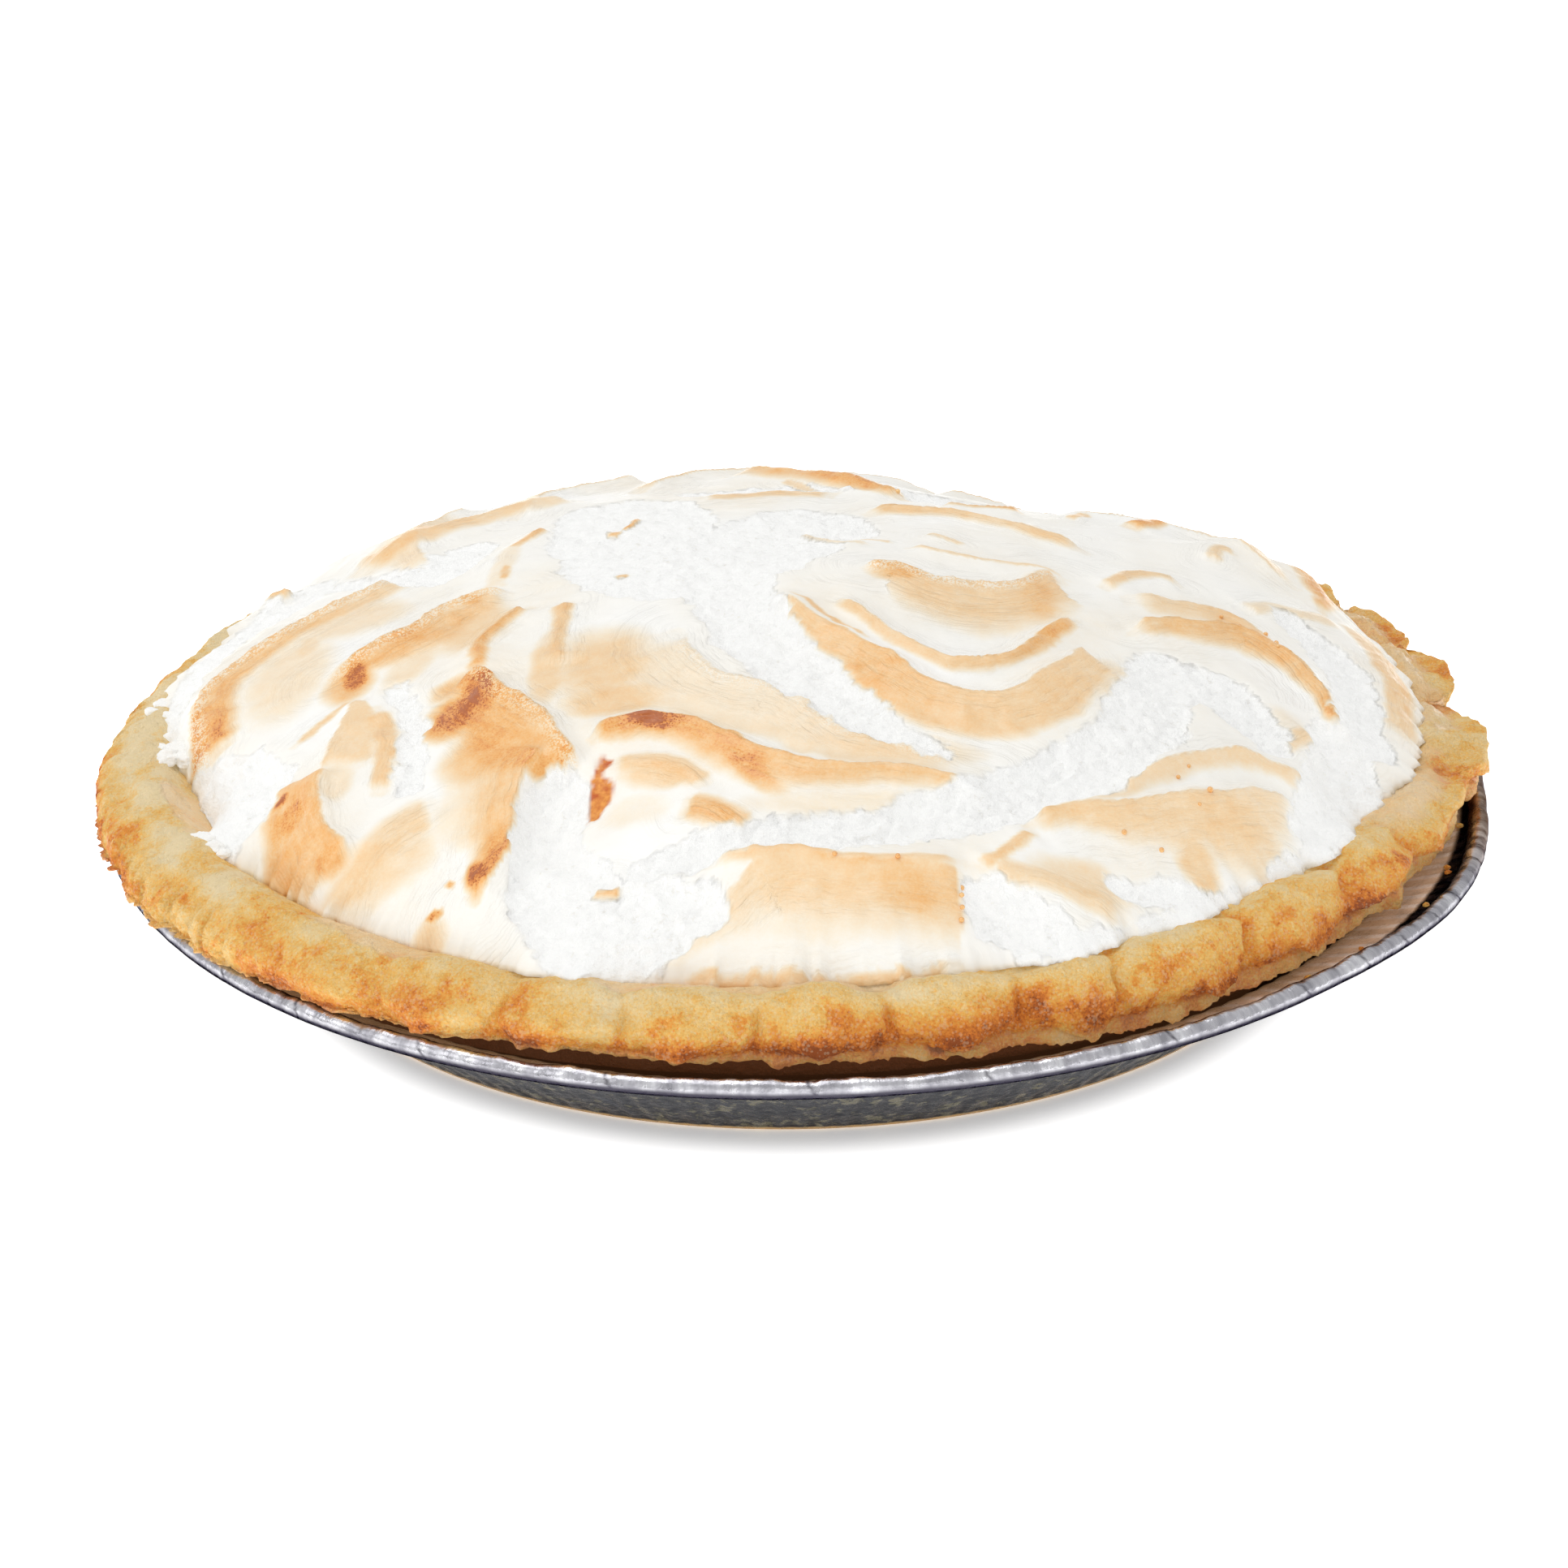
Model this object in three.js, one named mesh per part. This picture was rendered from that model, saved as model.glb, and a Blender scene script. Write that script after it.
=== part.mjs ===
// A whole lemon meringue pie in its own foil tin.
// Millimetres, +Z up, the tin's base on z = 0 and the tin's axis on the Z axis; the front is towards -Y.
import * as THREE from "three";

// Driving dimensions of the tin
const TIN_RIM_RADIUS = 122.5;
const TIN_BASE_RADIUS = 92;
const TIN_CURL_TOP = 24.5;
const TIN_CURL_RADIUS = 1.6;
const TIN_WALL_TOP = { r: 109.5, z: 18.5 };
const TIN_FLANGE_SLOPE = 0.3;
const FOIL = 0.7;
const PLEATS = 72;
const PLEAT_DEPTH = 0.45;

// Driving dimensions of the crust
const BED_HEIGHT = 31;
const BED_MARGIN = 4.6;
const CREST_HEIGHT = 34.8;
const CREST_WIDTH = 3;
const CRUST_REACH = { wide: 122.6, narrow: 114 };
const CRIMPS = 54;
const CRIMP_DEPTH = 1.1;
const SCALLOPS = 22;
const SCALLOP_DEPTH = 2.4;
const CLEFT_DEPTH = 1.1;

// Driving dimensions of the meringue
const MERINGUE_REACH = { wide: 111.2, narrow: 106.2 };
const MERINGUE_EDGE_HEIGHT = 34.4;
const DOME_HEIGHT = 28.5;
const DOME_FULLNESS = 1.8;
const DOME_SHOULDER = 0.75;
const MERINGUE_RINGS = 28;

// The pastry and the meringue are narrowest towards this bearing, and widen to both sides of it.
const NARROW_BEARING = THREE.MathUtils.degToRad(-60);
const NARROW_SPREAD = THREE.MathUtils.degToRad(95);
// The pastry's edge is pulled into large lumps around this bearing.
const SCALLOP_BEARING = THREE.MathUtils.degToRad(48);
const SCALLOP_SPREAD = THREE.MathUtils.degToRad(105);
const GAP = 0.3;

// Folds that a spatula left in the meringue. A way is the crest's course in plan; the smooth face lies to
// the left of it where face is positive, to the right where it is negative, and the other side falls off
// steeply over back.
const FOLDS = [
  { way: [[-104, -24], [-105, 4], [-92, 24], [-66, 44]], height: 3.4, face: -15, back: 4 },
  { way: [[-79, -20], [-67, -3], [-54, 12], [-46, 37]], height: 3.2, face: -13, back: 5 },
  { way: [[-75, -24], [-78, -43], [-90, -54]], height: 3.6, face: 13, back: 5 },
  { way: [[-46, 2], [-54, -17], [-55, -33], [-47, -48], [-37, -60]], height: 4.2, face: -16, back: 5 },
  { way: [[-41, -58], [-46, -71], [-47, -80], [-54, -90]], height: 4, face: -15, back: 4 },
  { way: [[-38, -6], [-40, -22], [-38, -38]], height: 2.2, face: 12, back: 7 },
  { way: [[-33, -53], [-17, -54], [-3, -67], [12, -69], [33, -73]], height: 3.6, face: -11, back: 12 },
  { way: [[-6, -17], [7, -31], [18, -48], [33, -56], [46, -45], [52, -24]], height: 4, face: -9, back: 10 },
  { way: [[4, -17], [20, -32], [31, -37], [41, -29], [50, -12]], height: 3, face: -6, back: 8 },
  { way: [[12, -1], [30, -4], [50, 7]], height: 2.6, face: -14, back: 5 },
  { way: [[60, -13], [74, -8], [86, -14], [93, -28]], height: 3, face: -6, back: 8 },
  { way: [[60, 0], [71, 2], [81, -2]], height: 2, face: -5, back: 6 },
  { way: [[54, 7], [63, 11], [72, 14]], height: 2, face: -4, back: 5 },
  { way: [[84, 26], [100, 14], [105, -6], [104, -26]], height: 3, face: -6, back: 4 },
  { way: [[40, -73], [56, -69], [75, -61]], height: 3.4, face: -14, back: 7 },
  { way: [[55, -66], [69, -53], [82, -46], [88, -58]], height: 2.4, face: -8, back: 6 },
  { way: [[29, -86], [37, -90], [46, -90], [55, -95]], height: 2.6, face: -8, back: 6 },
  { way: [[-18, -86], [2, -88], [16, -89], [28, -92]], height: 3.8, face: -17, back: 7 },
  { way: [[-10, 66], [5, 66], [17, 60], [25, 53]], height: 2.6, face: -6, back: 8 },
  { way: [[14, 36], [33, 33], [50, 24]], height: 2, face: -6, back: 8 },
  { way: [[-95, 36], [-84, 52], [-62, 62], [-36, 66]], height: 2.8, face: -9, back: 6 },
];
// Folds of the far side, each a short curved sweep that leans the same way round.
const FAR_FOLDS = 6;
const FAR_FOLD = { first: 28, last: 138, outer: 97, inner: 72, sweep: 19, height: 2.8, face: 10, back: 6 };
// Hollows where the meringue was torn or scooped out.
const HOLLOWS = [
  { at: [-37, -74], radius: 12, depth: 2.6 },
  { at: [31, -18], radius: 19, depth: 2.4 },
  { at: [34, -98], radius: 8, depth: 1.8 },
  { at: [94, -40], radius: 11, depth: 2 },
  { at: [-66, -38], radius: 8, depth: 1.8 },
  { at: [-6, 20], radius: 20, depth: 1.2 },
];

const TAU = 2 * Math.PI;
const { clamp, degToRad, lerp, smoothstep } = THREE.MathUtils;

// 1 at a bearing, easing to 0 at spread to either side of it.
function around(angle, bearing, spread) {
  const off = Math.abs(Math.atan2(Math.sin(angle - bearing), Math.cos(angle - bearing)));
  return off < spread ? (1 + Math.cos((Math.PI * off) / spread)) / 2 : 0;
}

const reach = (span, angle) => lerp(span.wide, span.narrow, around(angle, NARROW_BEARING, NARROW_SPREAD));

// A repeatable number from -1 to 1 for each pair of whole numbers.
function jitter(i, j) {
  const s = Math.sin(i * 127.1 + j * 311.7) * 43758.5453;
  return 2 * (s - Math.floor(s)) - 1;
}

// A closed body turned about Z whose profile, from the axis round to the axis, may change with the angle.
function turned(angles, profileAt) {
  const rows = angles.map(profileAt);
  const inner = rows[0].length - 2;
  const positions = [0, 0, rows[0][0].y];
  angles.forEach((angle, i) => {
    for (const p of rows[i].slice(1, -1)) positions.push(p.x * Math.cos(angle), p.x * Math.sin(angle), p.y);
  });
  positions.push(0, 0, rows[0][inner + 1].y);
  const last = positions.length / 3 - 1;
  const index = [];
  for (let i = 0; i < angles.length; i++) {
    const a = 1 + i * inner;
    const b = 1 + ((i + 1) % angles.length) * inner;
    index.push(0, b, a);
    for (let k = 0; k < inner - 1; k++) index.push(a + k, b + k, b + k + 1, a + k, b + k + 1, a + k + 1);
    index.push(a + inner - 1, b + inner - 1, last);
  }
  return solid(positions, index);
}

function solid(positions, index) {
  const geometry = new THREE.BufferGeometry();
  geometry.setAttribute("position", new THREE.Float32BufferAttribute(positions, 3));
  geometry.setIndex(index);
  geometry.computeVertexNormals();
  return geometry;
}

function part(name, geometry, color, roughness, metalness) {
  const mesh = new THREE.Mesh(geometry, new THREE.MeshStandardMaterial({ color, roughness, metalness }));
  mesh.name = name;
  return mesh;
}

const evenAngles = (count) => Array.from({ length: count }, (_, i) => (TAU * i) / count);
const flangeHeight = (r) => TIN_WALL_TOP.z + TIN_FLANGE_SLOPE * (r - TIN_WALL_TOP.r);

// The tin: flat base, pleated wall and flange, and a rolled curl at the rim, all of one foil.
function tinGeometry() {
  const curlMiddle = { r: TIN_RIM_RADIUS - TIN_CURL_RADIUS, z: TIN_CURL_TOP - TIN_CURL_RADIUS };
  const curlPoint = (turn) =>
    new THREE.Vector2(
      curlMiddle.r + TIN_CURL_RADIUS * Math.cos(degToRad(turn)),
      curlMiddle.z + TIN_CURL_RADIUS * Math.sin(degToRad(turn)),
    );
  const flangeEnd = curlMiddle.r - TIN_CURL_RADIUS;
  const profileAt = (angle) => {
    const push = PLEAT_DEPTH * Math.cos(PLEATS * angle);
    const wall = (r, z) => new THREE.Vector2(r + push, z);
    const flange = (r, z) => new THREE.Vector2(r, z + push);
    const flat = (r, z) => new THREE.Vector2(r, z);
    return [
      flat(0, 0),
      flat(TIN_BASE_RADIUS - 0.8, 0),
      wall(TIN_BASE_RADIUS + 0.3, 1.4),
      wall(TIN_WALL_TOP.r + FOIL, TIN_WALL_TOP.z - FOIL),
      flange(flangeEnd - 0.6, flangeHeight(flangeEnd) - FOIL - PLEAT_DEPTH),
      curlPoint(-80),
      curlPoint(0),
      curlPoint(45),
      curlPoint(90),
      curlPoint(150),
      flange(flangeEnd - 0.8, flangeHeight(flangeEnd) - PLEAT_DEPTH),
      wall(TIN_WALL_TOP.r, TIN_WALL_TOP.z),
      wall(TIN_BASE_RADIUS - 0.4, 1.6 + FOIL / 2),
      flat(TIN_BASE_RADIUS - 1.6, FOIL),
      flat(0, FOIL),
    ];
  };
  return turned(evenAngles(2 * PLEATS), profileAt);
}

// The pastry: solid inside the tin, lying over the flange and, where it is wide, over the curl, with a
// crimped roll for its rim. A thin lower layer shows under the roll, parted from it by a cleft.
function crustGeometry() {
  const angles = evenAngles(3 * CRIMPS).map((angle, i) => angle + (0.35 * TAU * jitter(i, 1)) / (9 * CRIMPS));
  const profileAt = (angle, i) => {
    const dent = i % 3 === 0 ? 1 : 0.12;
    const lumps = around(angle, SCALLOP_BEARING, SCALLOP_SPREAD);
    const scallop = lumps * SCALLOP_DEPTH * (Math.abs(Math.sin((SCALLOPS * angle) / 2)) - 0.6);
    const crimp = -CRIMP_DEPTH * dent * (1 - 0.6 * lumps);
    const mean = reach(CRUST_REACH, angle);
    const out = mean + scallop + crimp + 0.35 * jitter(i, 2);
    const rest = lerp(20.6, TIN_CURL_TOP + GAP + 0.2, smoothstep(mean, 114.5, 118));
    const under = Math.min(mean - 4, TIN_RIM_RADIUS - 2 * TIN_CURL_RADIUS - 2);
    const edge = reach(MERINGUE_REACH, angle);
    const crest = CREST_HEIGHT + 0.5 * crimp + 0.3 * scallop;
    const crag = (k) => 0.45 * jitter(i, k);
    const v = (r, z) => new THREE.Vector2(r, z);
    return [
      v(0, FOIL + GAP),
      v(TIN_BASE_RADIUS - 3, FOIL + GAP),
      v(TIN_WALL_TOP.r - PLEAT_DEPTH - 1, TIN_WALL_TOP.z + 0.2),
      v(under, flangeHeight(under) + PLEAT_DEPTH + GAP),
      v(Math.min(under + 1.2, mean - 2), rest),
      v(out - 1.2, rest + 0.3 + Math.abs(crag(3))),
      v(out - 0.2 + crag(4), rest + 1.9),
      v(out - CLEFT_DEPTH, rest + 3.2 + crag(5)),
      v(out, rest + 4.4),
      v(lerp(edge, out, 0.82), lerp(rest + 4.4, crest, 0.72)),
      v(edge + CREST_WIDTH, crest),
      v(edge, MERINGUE_EDGE_HEIGHT - GAP - 0.1),
      v(edge - BED_MARGIN, BED_HEIGHT),
      v(0, BED_HEIGHT),
    ];
  };
  return turned(angles, profileAt);
}

// The height that one fold adds at a place in plan.
function foldHeight(fold, x, y) {
  let nearest = Infinity;
  let height = 0;
  for (let k = 0; k < fold.course.length - 1; k++) {
    const a = fold.course[k];
    const b = fold.course[k + 1];
    const along = { x: b.x - a.x, y: b.y - a.y };
    const length = Math.hypot(along.x, along.y);
    const t = clamp(((x - a.x) * along.x + (y - a.y) * along.y) / length ** 2, 0, 1);
    const off = { x: x - a.x - t * along.x, y: y - a.y - t * along.y };
    const distance = Math.hypot(off.x, off.y);
    if (distance >= nearest) continue;
    nearest = distance;
    const left = along.x * off.y - along.y * off.x > 0;
    const width = left === fold.face > 0 ? Math.abs(fold.face) : fold.back;
    const way = (k + t) / (fold.course.length - 1);
    const taper = smoothstep(way, 0, 0.25) * (1 - smoothstep(way, 0.75, 1));
    height = fold.height * taper * Math.max(0, 1 - distance / width) ** 2;
  }
  return height;
}

function allFolds() {
  const far = Array.from({ length: FAR_FOLDS }, (_, k) => {
    const bearing = lerp(FAR_FOLD.first, FAR_FOLD.last, k / (FAR_FOLDS - 1));
    const at = (r, turn) => [r * Math.cos(degToRad(turn)), r * Math.sin(degToRad(turn))];
    const middle = (FAR_FOLD.outer + FAR_FOLD.inner) / 2;
    return {
      ...FAR_FOLD,
      way: [
        at(FAR_FOLD.outer, bearing - FAR_FOLD.sweep / 2),
        at(middle + 4, bearing + FAR_FOLD.sweep / 4),
        at(FAR_FOLD.inner, bearing + FAR_FOLD.sweep),
      ],
    };
  });
  return [...FOLDS, ...far].map((fold) => ({
    ...fold,
    course: new THREE.SplineCurve(fold.way.map(([x, y]) => new THREE.Vector2(x, y))).getSpacedPoints(24),
  }));
}

// Overlapping folds merge like soft foam: the sum of high powers keeps the higher crest.
function relief(folds, x, y) {
  const power = 3;
  const raised = folds.reduce((sum, fold) => sum + foldHeight(fold, x, y) ** power, 0) ** (1 / power);
  const sunk = HOLLOWS.reduce((sum, { at, radius, depth }) => {
    const s = Math.hypot(x - at[0], y - at[1]) / radius;
    return s < 1 ? sum + depth * (1 - s * s) ** 2 : sum;
  }, 0);
  const swell = 0.8 * Math.sin(x / 17 + 1) * Math.sin(y / 14 + 2) + 0.4 * Math.sin(x / 7.5) * Math.cos(y / 8.5);
  return raised - sunk + swell;
}

// The meringue: a dome of even triangles, ring by ring, closed underneath to lie on the pastry.
function meringueGeometry() {
  const folds = allFolds();
  const positions = [0, 0, MERINGUE_EDGE_HEIGHT + DOME_HEIGHT + relief(folds, 0, 0)];
  const index = [];
  const start = (ring) => (ring === 0 ? 0 : 1 + 3 * ring * (ring - 1));
  for (let ring = 1; ring <= MERINGUE_RINGS; ring++) {
    const u = ring / MERINGUE_RINGS;
    const count = 6 * ring;
    for (let i = 0; i < count; i++) {
      const angle = (TAU * i) / count;
      const r = u * reach(MERINGUE_REACH, angle);
      const [x, y] = [r * Math.cos(angle), r * Math.sin(angle)];
      const dome = DOME_HEIGHT * (1 - u ** DOME_FULLNESS) ** DOME_SHOULDER;
      const settle = ring === MERINGUE_RINGS ? 0 : 1 - u ** 16;
      positions.push(x, y, MERINGUE_EDGE_HEIGHT + dome + settle * relief(folds, x, y));
    }
    for (let sector = 0; sector < 6; sector++) {
      for (let i = 0; i < ring; i++) {
        const outer = (n) => start(ring) + ((sector * ring + n) % count);
        const inner = (n) => (ring === 1 ? 0 : start(ring - 1) + ((sector * (ring - 1) + n) % (count - 6)));
        index.push(outer(i), outer(i + 1), inner(i));
        if (i < ring - 1) index.push(outer(i + 1), inner(i + 1), inner(i));
      }
    }
  }
  const rim = 6 * MERINGUE_RINGS;
  const under = positions.length / 3;
  for (let i = 0; i < rim; i++) {
    const angle = (TAU * i) / rim;
    const r = reach(MERINGUE_REACH, angle) - BED_MARGIN;
    positions.push(r * Math.cos(angle), r * Math.sin(angle), BED_HEIGHT + GAP + 0.1);
  }
  positions.push(0, 0, BED_HEIGHT + GAP + 0.1);
  for (let i = 0; i < rim; i++) {
    const next = (i + 1) % rim;
    const [a, b] = [start(MERINGUE_RINGS) + i, start(MERINGUE_RINGS) + next];
    index.push(a, under + i, b, b, under + i, under + next, under + rim, under + next, under + i);
  }
  return solid(positions, index);
}

const pie = new THREE.Group();
pie.add(part("tin", tinGeometry(), 0xb9bcc2, 0.32, 1));
pie.add(part("crust", crustGeometry(), 0xdfae62, 0.7, 0));
pie.add(part("meringue", meringueGeometry(), 0xf7f3ea, 0.6, 0));

export default pie;
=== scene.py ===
"""A whole lemon meringue pie in its own foil tin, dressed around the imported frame.

Lengths in the classes are millimetres, heights are above the surface that the tin stands on, and bearings are
degrees from +X towards +Y. The front of the pie is towards -Y. Meshes are made in metres.
"""

import logging
import math
import random
from dataclasses import dataclass, field
from enum import Enum

import bpy
import numpy as np
from mathutils import Matrix, Vector, noise


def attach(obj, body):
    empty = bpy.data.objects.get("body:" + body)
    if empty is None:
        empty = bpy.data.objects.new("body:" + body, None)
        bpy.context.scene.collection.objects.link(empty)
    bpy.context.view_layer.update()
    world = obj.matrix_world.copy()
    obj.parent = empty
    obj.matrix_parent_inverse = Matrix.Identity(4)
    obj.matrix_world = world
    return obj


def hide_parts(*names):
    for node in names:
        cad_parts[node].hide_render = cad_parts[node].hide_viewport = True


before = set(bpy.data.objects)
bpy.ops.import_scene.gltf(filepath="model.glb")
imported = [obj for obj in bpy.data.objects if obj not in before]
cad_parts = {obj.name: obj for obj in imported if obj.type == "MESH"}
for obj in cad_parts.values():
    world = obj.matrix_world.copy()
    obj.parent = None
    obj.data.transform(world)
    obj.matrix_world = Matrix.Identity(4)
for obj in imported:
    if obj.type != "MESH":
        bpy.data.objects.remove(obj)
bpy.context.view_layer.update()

MM = 0.001
TAU = 2 * math.pi
BODY = "root"
log = logging.getLogger("lemon_meringue_pie")

Piece = bpy.types.Object
Material = bpy.types.Material
Socket = bpy.types.NodeSocket
Array = np.ndarray
Place = tuple[float, float]
Colour = tuple[int, int, int]
WHITE = (1.0, 1.0, 1.0, 1.0)


class Slot(Enum):
    """The record's material slots."""

    FOIL = "foil"
    PASTRY = "pastry"
    MERINGUE = "meringue"


class Side(Enum):
    """The side of a fold's crest that holds its smooth face, seen along the fold's way."""

    RIGHT = 1
    LEFT = -1
    BOTH = 0


# Numbers along and across a surface


def smooth(low: float, high: float, value: Array) -> Array:
    """Ease from 0 at low to 1 at high.

    Args:
        low: Value where the result is 0.
        high: Value where the result is 1.
        value: The values to ease.

    Returns:
        The eased values.
    """
    share = np.clip((value - low) / (high - low), 0.0, 1.0)
    return share * share * (3.0 - 2.0 * share)


def turned(angle: Array, bearing: float = 0.0) -> Array:
    """Return how many degrees each angle lies past a bearing, from -180 to 180."""
    return (np.degrees(angle) - bearing + 180.0) % 360.0 - 180.0


def around(angle: Array, bearing: float, spread: float) -> Array:
    """Raise a soft hill around a bearing.

    Args:
        angle: Angles in radians.
        bearing: The hill's middle, in degrees.
        spread: Degrees to either side where the hill ends.

    Returns:
        1 at the bearing, easing to 0 at spread to either side.
    """
    off = np.abs(turned(angle, bearing))
    return np.where(off < spread, (1.0 + np.cos(math.pi * np.minimum(off / spread, 1.0))) / 2.0, 0.0)


def by_bearing(angle: Array, table: tuple[Place, ...]) -> Array:
    """Read a table of bearings and values at each angle. It runs on from its last row to its first."""
    return np.interp(np.degrees(angle), *np.array(table).T, period=360.0)


def evenly(share: Array, values: tuple[float, ...]) -> Array:
    """Read values that are spread evenly along a way, at each share of it."""
    return np.interp(share, np.linspace(0, 1, len(values)), values)


def mottle(points: Array, size: float, octaves: int = 3, seed: float = 0.0) -> Array:
    """Sample repeatable fractal noise.

    Args:
        points: Places in millimetres, one row each, with two or three columns.
        size: The width of the noise's largest lumps, in millimetres.
        octaves: How many finer layers are added.
        seed: Picks another part of the noise.

    Returns:
        One value from about -1 to 1 for each place.
    """
    start = Vector((17.3 * seed, 5.9 * seed, 11.1 * seed))
    tall = points if points.shape[1] == 3 else np.column_stack([points, np.zeros(len(points))])
    rows = (tall / size).tolist()
    return np.array([noise.fractal(Vector(row) + start, 1.0, 2.0, octaves) for row in rows])


def on_circle(angle: Array, radius: Array | float) -> Array:
    """Return the places in plan at these angles and radii, as rows of x and y."""
    return np.column_stack([radius * np.cos(angle), radius * np.sin(angle)])


def polar(points: Array) -> tuple[Array, Array]:
    """Return each place's angle about the pie's axis, in radians, and how far from the axis it lies."""
    return np.arctan2(points[:, 1], points[:, 0]), np.hypot(points[:, 0], points[:, 1])


def curve(a: Array, b: Array, c: Array, d: Array, t: Array | float) -> Array:
    """Go from b to c on a smooth curve that comes from a and goes on to d.

    Args:
        a: The point before.
        b: The point where the curve starts.
        c: The point where it ends.
        d: The point after.
        t: The share of the way, from 0 to 1.

    Returns:
        The point at each share.
    """
    bend = (2 * a - 5 * b + 4 * c - d) * t**2 + (3 * (b - c) + d - a) * t**3
    return b + 0.5 * ((c - a) * t + bend)


@dataclass(frozen=True)
class Course:
    """A smooth way in plan through a few places."""

    places: tuple[Place, ...]
    steps: int = 8

    def samples(self) -> Array:
        """Run along the way.

        Returns:
            The points of the way, steps to each stretch, as rows of x and y.
        """
        p = np.array(self.places, float)
        p = np.vstack([2 * p[0] - p[1], p, 2 * p[-1] - p[-2]])
        t = (np.arange(self.steps) / self.steps)[:, None]
        rows = [curve(a, b, c, d, t) for a, b, c, d in zip(p, p[1:], p[2:], p[3:])]
        return np.vstack([*rows, p[-2]])

    def measure(self, plan: Array) -> tuple[Array, Array, Array]:
        """Find the nearest point of the way for each place.

        Args:
            plan: Places in plan, as rows of x and y.

        Returns:
            The distance, positive to the right of the way; how far along the way, in stretches from place to
            place; and how far the place lies beyond either end of the way.
        """
        line = self.samples()
        best = np.full(len(plan), np.inf)
        along = np.zeros(len(plan))
        for k, (a, b) in enumerate(zip(line, line[1:])):
            step = b - a
            t = np.clip((plan - a) @ step / (step @ step), 0.0, 1.0)
            off = plan - a - t[:, None] * step
            distance = np.hypot(off[:, 0], off[:, 1])
            nearer = distance < np.abs(best)
            right = step[0] * off[:, 1] - step[1] * off[:, 0] < 0
            best[nearer] = np.where(right, distance, -distance)[nearer]
            along[nearer] = ((k + t) / self.steps)[nearer]
        first = line[0] - line[1]
        last = line[-1] - line[-2]
        before = (plan - line[0]) @ first / np.linalg.norm(first)
        after = (plan - line[-1]) @ last / np.linalg.norm(last)
        near_first = along < 0.05
        near_last = along > len(self.places) - 1.05
        beyond = np.where(near_first, before, np.where(near_last, after, 0.0))
        return best, along, np.maximum(beyond, 0.0)


# Mesh work


def deselect() -> None:
    """Leave object mode's selection empty."""
    bpy.ops.object.select_all(action="DESELECT")


def points_of(obj: Piece) -> Array:
    """Read where a piece's vertices lie.

    Args:
        obj: The piece.

    Returns:
        The vertices in millimetres, one row each.
    """
    flat = np.empty(3 * len(obj.data.vertices), np.float32)
    obj.data.vertices.foreach_get("co", flat)
    return flat.reshape(-1, 3).astype(float) / MM


def place_points(obj: Piece, points: Array) -> None:
    """Move the mesh's vertices to these places, given in millimetres."""
    obj.data.vertices.foreach_set("co", (points * MM).astype(np.float32).ravel())
    obj.data.update()


def paint(obj: Piece, name: str, values: Array) -> None:
    """Store a number for each vertex under a name that a material can read."""
    layer = obj.data.attributes.new(name, "FLOAT", "POINT")
    layer.data.foreach_set("value", values.astype(np.float32))


def paint_vector(obj: Piece, name: str, values: Array) -> None:
    """Store three numbers for each vertex under a name that a material can read."""
    layer = obj.data.attributes.new(name, "FLOAT_VECTOR", "POINT")
    layer.data.foreach_set("vector", values.astype(np.float32).ravel())


def select_edges(obj: Piece, wanted: Array) -> None:
    """Enter edit mode on a piece with only some of its edges selected.

    Args:
        obj: The piece.
        wanted: Which edges are selected.
    """
    deselect()
    bpy.context.view_layer.objects.active = obj
    obj.select_set(True)
    bpy.context.tool_settings.mesh_select_mode = (False, True, False)
    mesh = obj.data
    for part in (mesh.vertices, mesh.edges, mesh.polygons):
        part.foreach_set("select", np.zeros(len(part), bool))
    mesh.edges.foreach_set("select", wanted)
    bpy.ops.object.mode_set(mode="EDIT")


def edge_ends(obj: Piece) -> Array:
    """Read which vertices a piece's edges join.

    Args:
        obj: The piece.

    Returns:
        The two vertex numbers of each edge, one row each.
    """
    flat = np.empty(2 * len(obj.data.edges), np.int32)
    obj.data.edges.foreach_get("vertices", flat)
    return flat.reshape(-1, 2)


def displace(obj: Piece, size: float, depth: float, mask: str, hard: bool = False) -> None:
    """Push a piece's surface in and out by a cloudy pattern and apply it.

    Args:
        obj: The piece.
        size: Width of the pattern's lumps in millimetres.
        depth: How far the surface may move, in millimetres.
        mask: The vertex group that says where it moves.
        hard: Whether the lumps are crisp rather than soft.
    """
    texture = bpy.data.textures.new(f"{obj.name}_lumps", "CLOUDS")
    texture.noise_scale = size * MM
    texture.noise_depth = 2
    texture.noise_type = "HARD_NOISE" if hard else "SOFT_NOISE"
    modifier = obj.modifiers.new("lumps", "DISPLACE")
    modifier.texture = texture
    modifier.strength = 2 * depth * MM
    modifier.mid_level = 0.5
    modifier.texture_coords = "LOCAL"
    modifier.vertex_group = mask
    bpy.context.view_layer.objects.active = obj
    bpy.ops.object.modifier_apply(modifier=modifier.name)


def even(obj: Piece, mask: str, rounds: int) -> None:
    """Smooth a piece's surface and apply it.

    Args:
        obj: The piece.
        mask: The vertex group that says where.
        rounds: How many times.
    """
    modifier = obj.modifiers.new("even", "SMOOTH")
    modifier.factor = 0.5
    modifier.iterations = rounds
    modifier.vertex_group = mask
    bpy.context.view_layer.objects.active = obj
    bpy.ops.object.modifier_apply(modifier=modifier.name)


def group_of(obj: Piece, name: str, weights: Array) -> str:
    """Give a piece a vertex group.

    Args:
        obj: The piece.
        name: The group's name.
        weights: Each vertex's weight, from 0 to 1.

    Returns:
        The group's name.
    """
    group = obj.vertex_groups.new(name=name)
    levels = np.clip(np.round(weights * 20), 0, 20).astype(int)
    for level in range(1, 21):
        members = np.nonzero(levels == level)[0].tolist()
        if members:
            group.add(members, level / 20, "REPLACE")
    return name


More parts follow.
